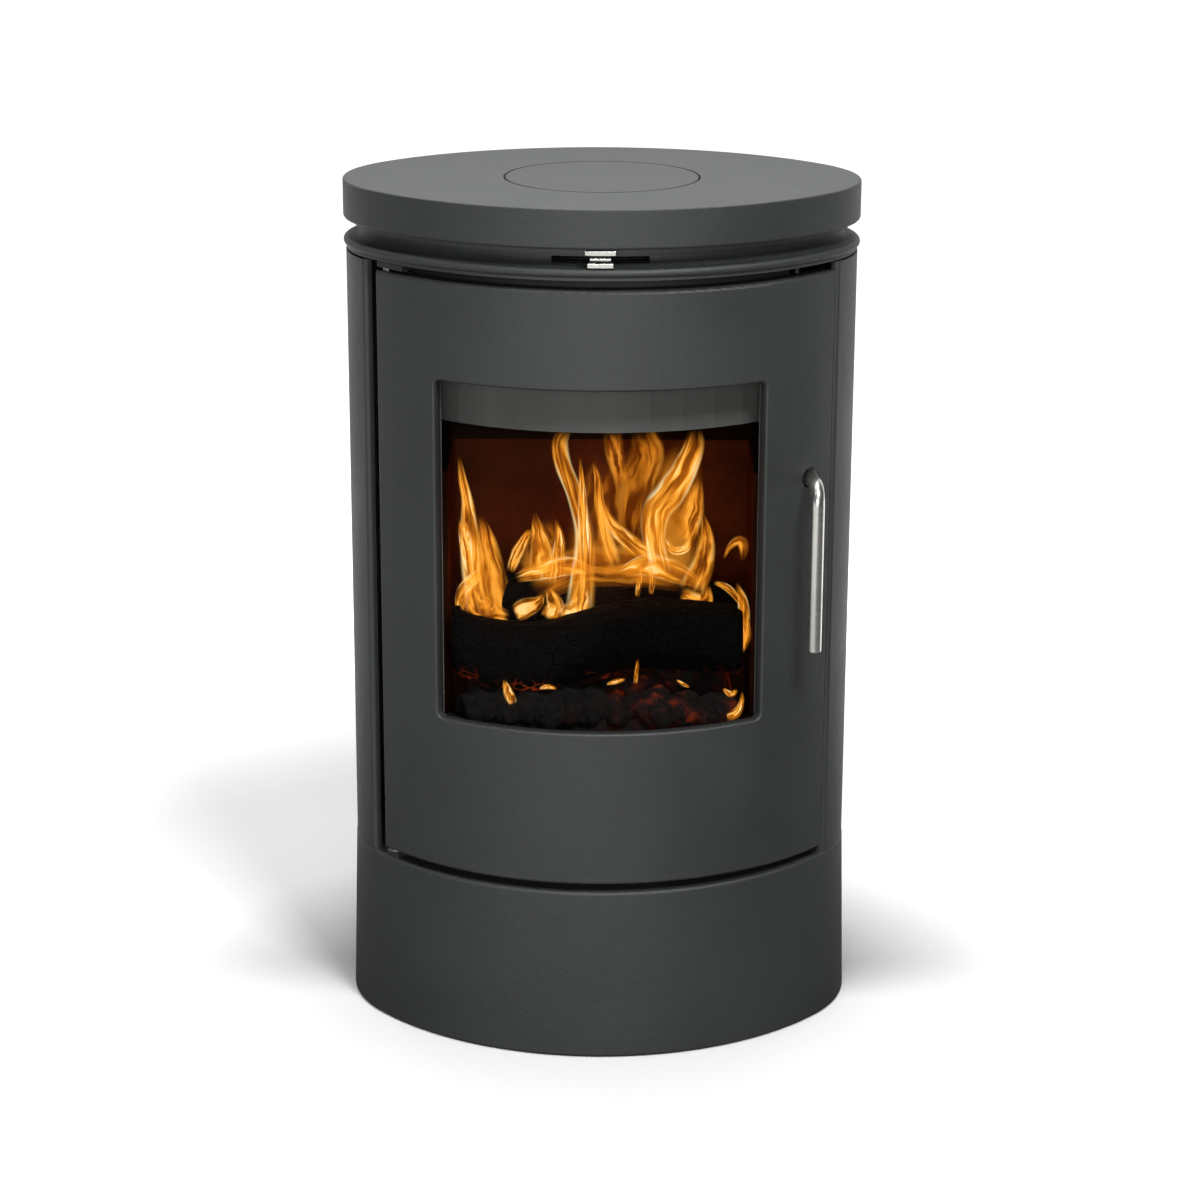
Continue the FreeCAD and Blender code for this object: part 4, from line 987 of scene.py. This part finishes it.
def add_mound(made):
    """A slab with a flat bottom, four walls and the mound's top."""
    grid = {}
    for i in range(bed_across + 1):
        for j in range(bed_along + 1):
            x = bed_left + (bed_right - bed_left) * i / bed_across
            y = bed_front + (bed_back - bed_front) * j / bed_along
            grid[i, j, 1] = made.verts.new((x, y, bed_top(x, y)))
            grid[i, j, 0] = made.verts.new((x, y, bed_floor))
    for i in range(bed_across):
        for j in range(bed_along):
            made.faces.new([grid[i, j, 1], grid[i + 1, j, 1], grid[i + 1, j + 1, 1], grid[i, j + 1, 1]])
            made.faces.new([grid[i, j, 0], grid[i, j + 1, 0], grid[i + 1, j + 1, 0], grid[i + 1, j, 0]])
    for i in range(bed_across):
        for j in (0, bed_along):
            wall = [grid[i, j, 0], grid[i + 1, j, 0], grid[i + 1, j, 1], grid[i, j, 1]]
            made.faces.new(wall if j == 0 else wall[::-1])
    for j in range(bed_along):
        for i in (0, bed_across):
            wall = [grid[i, j, 0], grid[i, j, 1], grid[i, j + 1, 1], grid[i, j + 1, 0]]
            made.faces.new(wall if i == 0 else wall[::-1])


def add_lump(made, rng):
    """One boxy lump of charcoal with a broken skin."""
    x = rng.uniform(bed_left + 12, bed_right - 12)
    y = rng.uniform(bed_front + 9, bed_back - 12)
    if rng.random() < front_lump_share:
        y = rng.uniform(bed_front + 9, bed_front + 24)
    size = Vector((rng.uniform(7, 15), rng.uniform(6, 11), rng.uniform(6, 12)))
    tilt, turn = rng.uniform(-0.5, 0.5), rng.uniform(0, 3.1)
    turned = Matrix.Rotation(tilt, 4, "Y") @ Matrix.Rotation(turn, 4, "Z")
    middle = Vector((x, y, bed_top(x, y) + lump_lift * size.z))
    for v in bmesh.ops.create_icosphere(made, subdivisions=3, radius=1.0)["verts"]:
        boxy = sum(abs(c) ** 5 for c in v.co) ** (-1 / 5)
        v.co *= boxy
        v.co = Vector((v.co.x * size.x, v.co.y * size.y, v.co.z * size.z))
        v.co += noise.noise_vector(v.co * lump_skin_scale + Vector((x, y, 3))) * lump_skin_height
        v.co = turned @ v.co + middle
        v.co.z = max(v.co.z, bed_floor + 0.5)


def make_embers(seed=5):
    """The mound on the grate with its lumps."""
    rng = random.Random(seed)
    # Vector noise starts from the clock unless its seed is set
    noise.seed_set(seed)
    made = bmesh.new()
    add_mound(made)
    for _ in range(lump_count):
        add_lump(made, rng)
    for v in made.verts:
        v.co *= MM
    mesh = bpy.data.meshes.new("fire_embers")
    made.to_mesh(mesh)
    made.free()
    mesh.materials.append(embers)
    piece = bpy.data.objects.new("fire_embers", mesh)
    bpy.context.collection.objects.link(piece)
    mesh.shade_smooth()
    mesh.set_sharp_from_angle(angle=math.radians(38))
    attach(piece, "body")
    return piece


bed = make_embers()
print("embers laid:", len(bed.data.polygons), "faces")

# %% [markdown]
# ## Flames
# A flame is a thin curved sheet of glowing gas. Each tongue here is a sheet with a bellied cross
# section that follows a few points, and it carries how far along, how far across and how hot it is,
# so that one material can make the soft edges, the streaks and the bright rims.


# %% The flames' material
carried_labels = ("across", "along", "seed", "warmth", "cover")


def flame_gas(name):
    """Glowing gas: see-through at its edges and between its streaks, whiter where it is hot."""
    made, tree, shader = new_material(name)

    def carried(label):
        return add(tree, "Attribute", (), {"attribute_name": label}).outputs["Fac"]

    across, along, seed, heat, cover = [carried(n) for n in carried_labels]

    def field(sideways, side_scale, up_scale):
        """Coordinates on a tongue, with each tongue in a layer of its own."""
        side, up = maths(tree, "MULTIPLY", sideways, side_scale), maths(tree, "MULTIPLY", along, up_scale)
        return add(tree, "CombineXYZ", {0: side, 1: up, 2: seed}).outputs[0]

    sway = maths(tree, "SUBTRACT", noise_at(tree, field(across, 0.55, 1.5), 2.2, 2.0), 0.5)
    bent = maths(tree, "ADD", across, maths(tree, "MULTIPLY", sway, 0.9))
    streaks = noise_at(tree, field(bent, 1.1, 0.75), 2.7, 2.0, 0.5)
    off = maths(tree, "ABSOLUTE", bent)
    rim = maths(tree, "MULTIPLY", remap(tree, off, 0.35, 0.72), remap(tree, off, 0.98, 0.80))
    border = remap(tree, maths(tree, "ABSOLUTE", across), 1.0, 0.20)
    ends = maths(tree, "MULTIPLY", remap(tree, along, 0.0, 0.16), remap(tree, along, 1.0, 0.72))
    thick_streaks = remap(tree, streaks, 0.34, 0.64, 0.30, 1.0)
    body = maths(tree, "ADD", thick_streaks, maths(tree, "MULTIPLY", rim, 0.35))
    outline = maths(tree, "MULTIPLY", border, ends)
    veil = maths(tree, "MULTIPLY", outline, maths(tree, "MULTIPLY", body, cover))
    hot_streaks = remap(tree, streaks, 0.34, 0.68, 0.12, 0.84)
    hot = maths(tree, "ADD", hot_streaks, maths(tree, "MULTIPLY", rim, 0.16))
    warm = maths(tree, "MULTIPLY", heat, hot)
    cooled = maths(tree, "MULTIPLY", warm, remap(tree, along, 0.45, 1.0, 1.0, 0.7))
    flame_colours = [
        (0.0, (0.30, 0.05, 0.002)),
        (0.3, (0.75, 0.23, 0.012)),
        (0.6, (1.0, 0.42, 0.045)),
        (1.0, (1.0, 0.88, 0.48)),
    ]
    feed(
        tree,
        shader,
        Base_Color=(0, 0, 0, 1),
        Roughness=1.0,
        Specular_IOR_Level=0.0,
        Emission_Color=ramp(tree, cooled, flame_colours),
        Emission_Strength=1.35,
        Alpha=maths(tree, "MINIMUM", veil, 1.0),
    )
    return made


flame = flame_gas("flame_gas")
print("flame gas made")

# %% [markdown]
# Wide faint tongues stand at the back, the bright ones before them, and small ones lick out between
# the logs and along the bed.

# %% Tongues of flame
# Each row: distance back in mm, heat, cover, then (x, z, half width) points from root to tip in mm
tongues = [
    (-28, 0.45, 0.40, [(-10, 392, 22), (-5, 430, 26), (0, 470, 22), (5, 505, 10)]),
    (-28, 0.50, 0.45, [(55, 392, 26), (60, 430, 30), (66, 470, 26), (74, 515, 12)]),
    (-28, 0.45, 0.40, [(-100, 380, 18), (-104, 410, 16), (-108, 440, 9)]),
    (-28, 0.42, 0.38, [(-52, 392, 24), (-48, 420, 20), (-46, 446, 8)]),
    (-40, 0.85, 0.95, [
        (-102, 354, 15), (-110, 404, 12), (-113, 438, 9),
        (-115, 464, 6), (-119, 485, 4), (-122, 507, 1),
    ]),
    (-34, 0.65, 0.75, [(-86, 352, 16), (-94, 393, 13), (-98, 425, 9), (-105, 452, 2)]),
    (-46, 1.00, 0.95, [(-113, 398, 4), (-116, 425, 6), (-118, 442, 5), (-121, 452, 1)]),
    (-52, 0.95, 0.95, [(-123, 366, 3), (-119, 382, 7), (-112, 394, 8), (-100, 408, 3)]),
    (-44, 0.80, 0.85, [(-78, 402, 4), (-72, 419, 6), (-64, 434, 4), (-60, 442, 1)]),
    (-40, 0.90, 0.90, [(-51, 392, 13), (-50, 419, 12), (-54, 438, 7), (-57, 456, 1)]),
    (-48, 1.00, 0.95, [(-38, 392, 9), (-36, 419, 7), (-35, 437, 4), (-39, 453, 1)]),
    (-42, 1.00, 1.00, [
        (-19, 356, 15), (-15, 400, 12), (-14, 436, 9), (-22, 471, 8),
        (-32, 497, 8), (-35, 517, 8), (-28, 530, 5),
    ]),
    (-48, 1.00, 1.00, [(-13, 415, 6), (-15, 455, 5), (-16, 483, 3), (-18, 507, 1)]),
    (-38, 0.75, 0.85, [(14, 402, 8), (4, 436, 6), (-1, 464, 5), (-3, 487, 3), (-7, 500, 1)]),
    (-50, 0.85, 0.85, [(46, 416, 9), (26, 431, 9), (10, 447, 6), (1, 468, 2)]),
    (-34, 0.55, 0.55, [(26, 430, 10), (28, 465, 15), (35, 490, 18), (40, 511, 17), (34, 528, 12)]),
    (-40, 0.60, 0.60, [(20, 478, 5), (13, 503, 9), (10, 528, 9)]),
    (-44, 1.00, 1.00, [
        (54, 398, 13), (47, 428, 11), (48, 455, 14), (60, 474, 15),
        (72, 494, 13), (80, 516, 10), (81, 531, 6),
    ]),
    (-36, 0.75, 0.80, [(72, 428, 9), (80, 455, 10), (85, 486, 3)]),
    (-52, 0.95, 0.90, [(56, 436, 2), (63, 425, 4), (74, 427, 4), (78, 441, 2)]),
    (-40, 0.75, 0.80, [(79, 384, 15), (89, 410, 11), (92, 434, 7), (88, 457, 1)]),
    (-42, 0.80, 0.80, [(107, 414, 1), (112, 425, 3), (120, 431, 5), (124, 425, 5), (123, 411, 1)]),
    (-44, 0.95, 0.95, [(-74, 396, 4), (-50, 404, 9), (-26, 408, 9), (-4, 402, 3)]),
    (-46, 0.95, 0.90, [(16, 402, 4), (40, 410, 10), (66, 403, 10), (90, 391, 3)]),
    (-30, 0.50, 0.60, [(-60, 382, 14), (-20, 402, 18), (30, 404, 18), (78, 392, 12)]),
    (-62, 0.80, 0.85, [(-78, 366, 6), (-96, 368, 15), (-108, 380, 14), (-114, 396, 4)]),
    (-62, 0.90, 0.90, [(-74, 370, 7), (-66, 374, 9), (-54, 380, 6), (-48, 388, 1)]),
    (-60, 0.90, 0.90, [(-43, 364, 10), (-39, 378, 9), (-45, 394, 3)]),
    (-60, 0.95, 0.95, [(-33, 366, 13), (-19, 376, 11), (-16, 400, 4)]),
    (-58, 0.70, 0.80, [(68, 384, 10), (89, 380, 9), (94, 396, 2)]),
    (-58, 0.80, 0.75, [(32, 384, 2), (34, 398, 3), (36, 414, 1)]),
    (-58, 0.80, 0.75, [(44, 386, 2), (45, 400, 3), (43, 416, 1)]),
    (-58, 0.85, 0.80, [(98, 398, 2), (110, 393, 4), (120, 382, 3), (126, 370, 1)]),
    (-70, 0.95, 0.90, [(121, 338, 4), (124, 362, 6), (123, 384, 5), (117, 402, 1)]),
    (-60, 0.70, 0.75, [(121, 336, 5), (125, 352, 7), (126, 372, 2)]),
    (-97, 1.00, 0.95, [(-74, 299, 4), (-78, 309, 5), (-82, 322, 1)]),
    (-97, 0.95, 0.90, [(-52, 313, 1), (-44, 315, 3), (-36, 313, 1)]),
    (-97, 0.95, 0.90, [(6, 317, 1), (14, 320, 3), (23, 322, 1)]),
    (-98, 0.80, 0.85, [(31, 318, 2), (32, 330, 2), (33, 341, 1)]),
    (-97, 0.90, 0.85, [(66, 322, 1), (72, 318, 2), (78, 315, 1)]),
    (-96, 0.95, 0.90, [(106, 314, 1), (113, 309, 3), (119, 313, 1)]),
    (-96, 1.00, 0.95, [(108, 287, 3), (117, 291, 5), (122, 300, 3), (123, 312, 1)]),
]


def make_flames(seed=11):
    """All the tongues as one mesh of curved sheets."""
    rng = random.Random(seed)
    points, faces = [], []
    carried = {n: [] for n in carried_labels}
    steps, sides, belly = 30, 8, math.radians(65)
    thinnest, bulge = 0.4, 0.6
    for back, heat, cover, stops in tongues:
        first = len(points)
        knots = list(range(len(stops)))
        places = [knots[-1] * i / steps for i in range(steps + 1)]
        xs, zs, ws = [smooth_line([(k, s[n]) for k, s in zip(knots, stops)], places) for n in range(3)]
        twist, mark = rng.uniform(-0.5, 0.5), rng.uniform(0, 40)
        for i in range(steps + 1):
            before, after = max(i - 1, 0), min(i + 1, steps)
            run = Vector((xs[after] - xs[before], zs[after] - zs[before])).normalized()
            half = max(ws[i], thinnest)
            for j in range(sides + 1):
                u = 2 * j / sides - 1
                sideways = half * math.sin(u * belly) / math.sin(belly)
                forward = bulge * half * (math.cos(u * belly) - math.cos(belly)) + twist * sideways
                x = xs[i] + run.y * sideways
                z = zs[i] - run.x * sideways
                points.append((x * MM, (back - forward) * MM, z * MM))
                for label, value in zip(carried, (u, i / steps, mark, heat, cover)):
                    carried[label].append(value)
                if i < steps and j < sides:
                    a = first + i * (sides + 1) + j
                    faces.append((a, a + 1, a + sides + 2, a + sides + 1))
    piece = new_piece("fire_flames", points, faces, flame, "body")
    for label, values in carried.items():
        piece.data.attributes.new(label, "FLOAT", "POINT").data.foreach_set("value", values)
    piece.visible_shadow = False
    return piece


flames = make_flames()
print("tongues:", len(tongues), "faces:", len(flames.data.polygons))

# %% [markdown]
# The flames glow, but a small lamp among them lights the boards with less noise. No ray that looks
# at it sees it.


# %% The fire's own light
fire_colour = (1.0, 0.14, 0.008)


def fire_lamp(name, place, power, radius):
    """A small warm lamp that stands for the light the flames throw on the lining."""
    light = bpy.data.lights.new(name, "POINT")
    light.energy = power
    light.color = fire_colour
    light.shadow_soft_size = radius
    lamp = bpy.data.objects.new(name, light)
    bpy.context.collection.objects.link(lamp)
    lamp.location = place
    lamp.visible_camera = False
    lamp.visible_glossy = False
    lamp.visible_transmission = False
    return lamp


fire_lamp("fire_glow", (0.0, -0.03, 0.40), 0.45, 0.05)
print("fire lit")
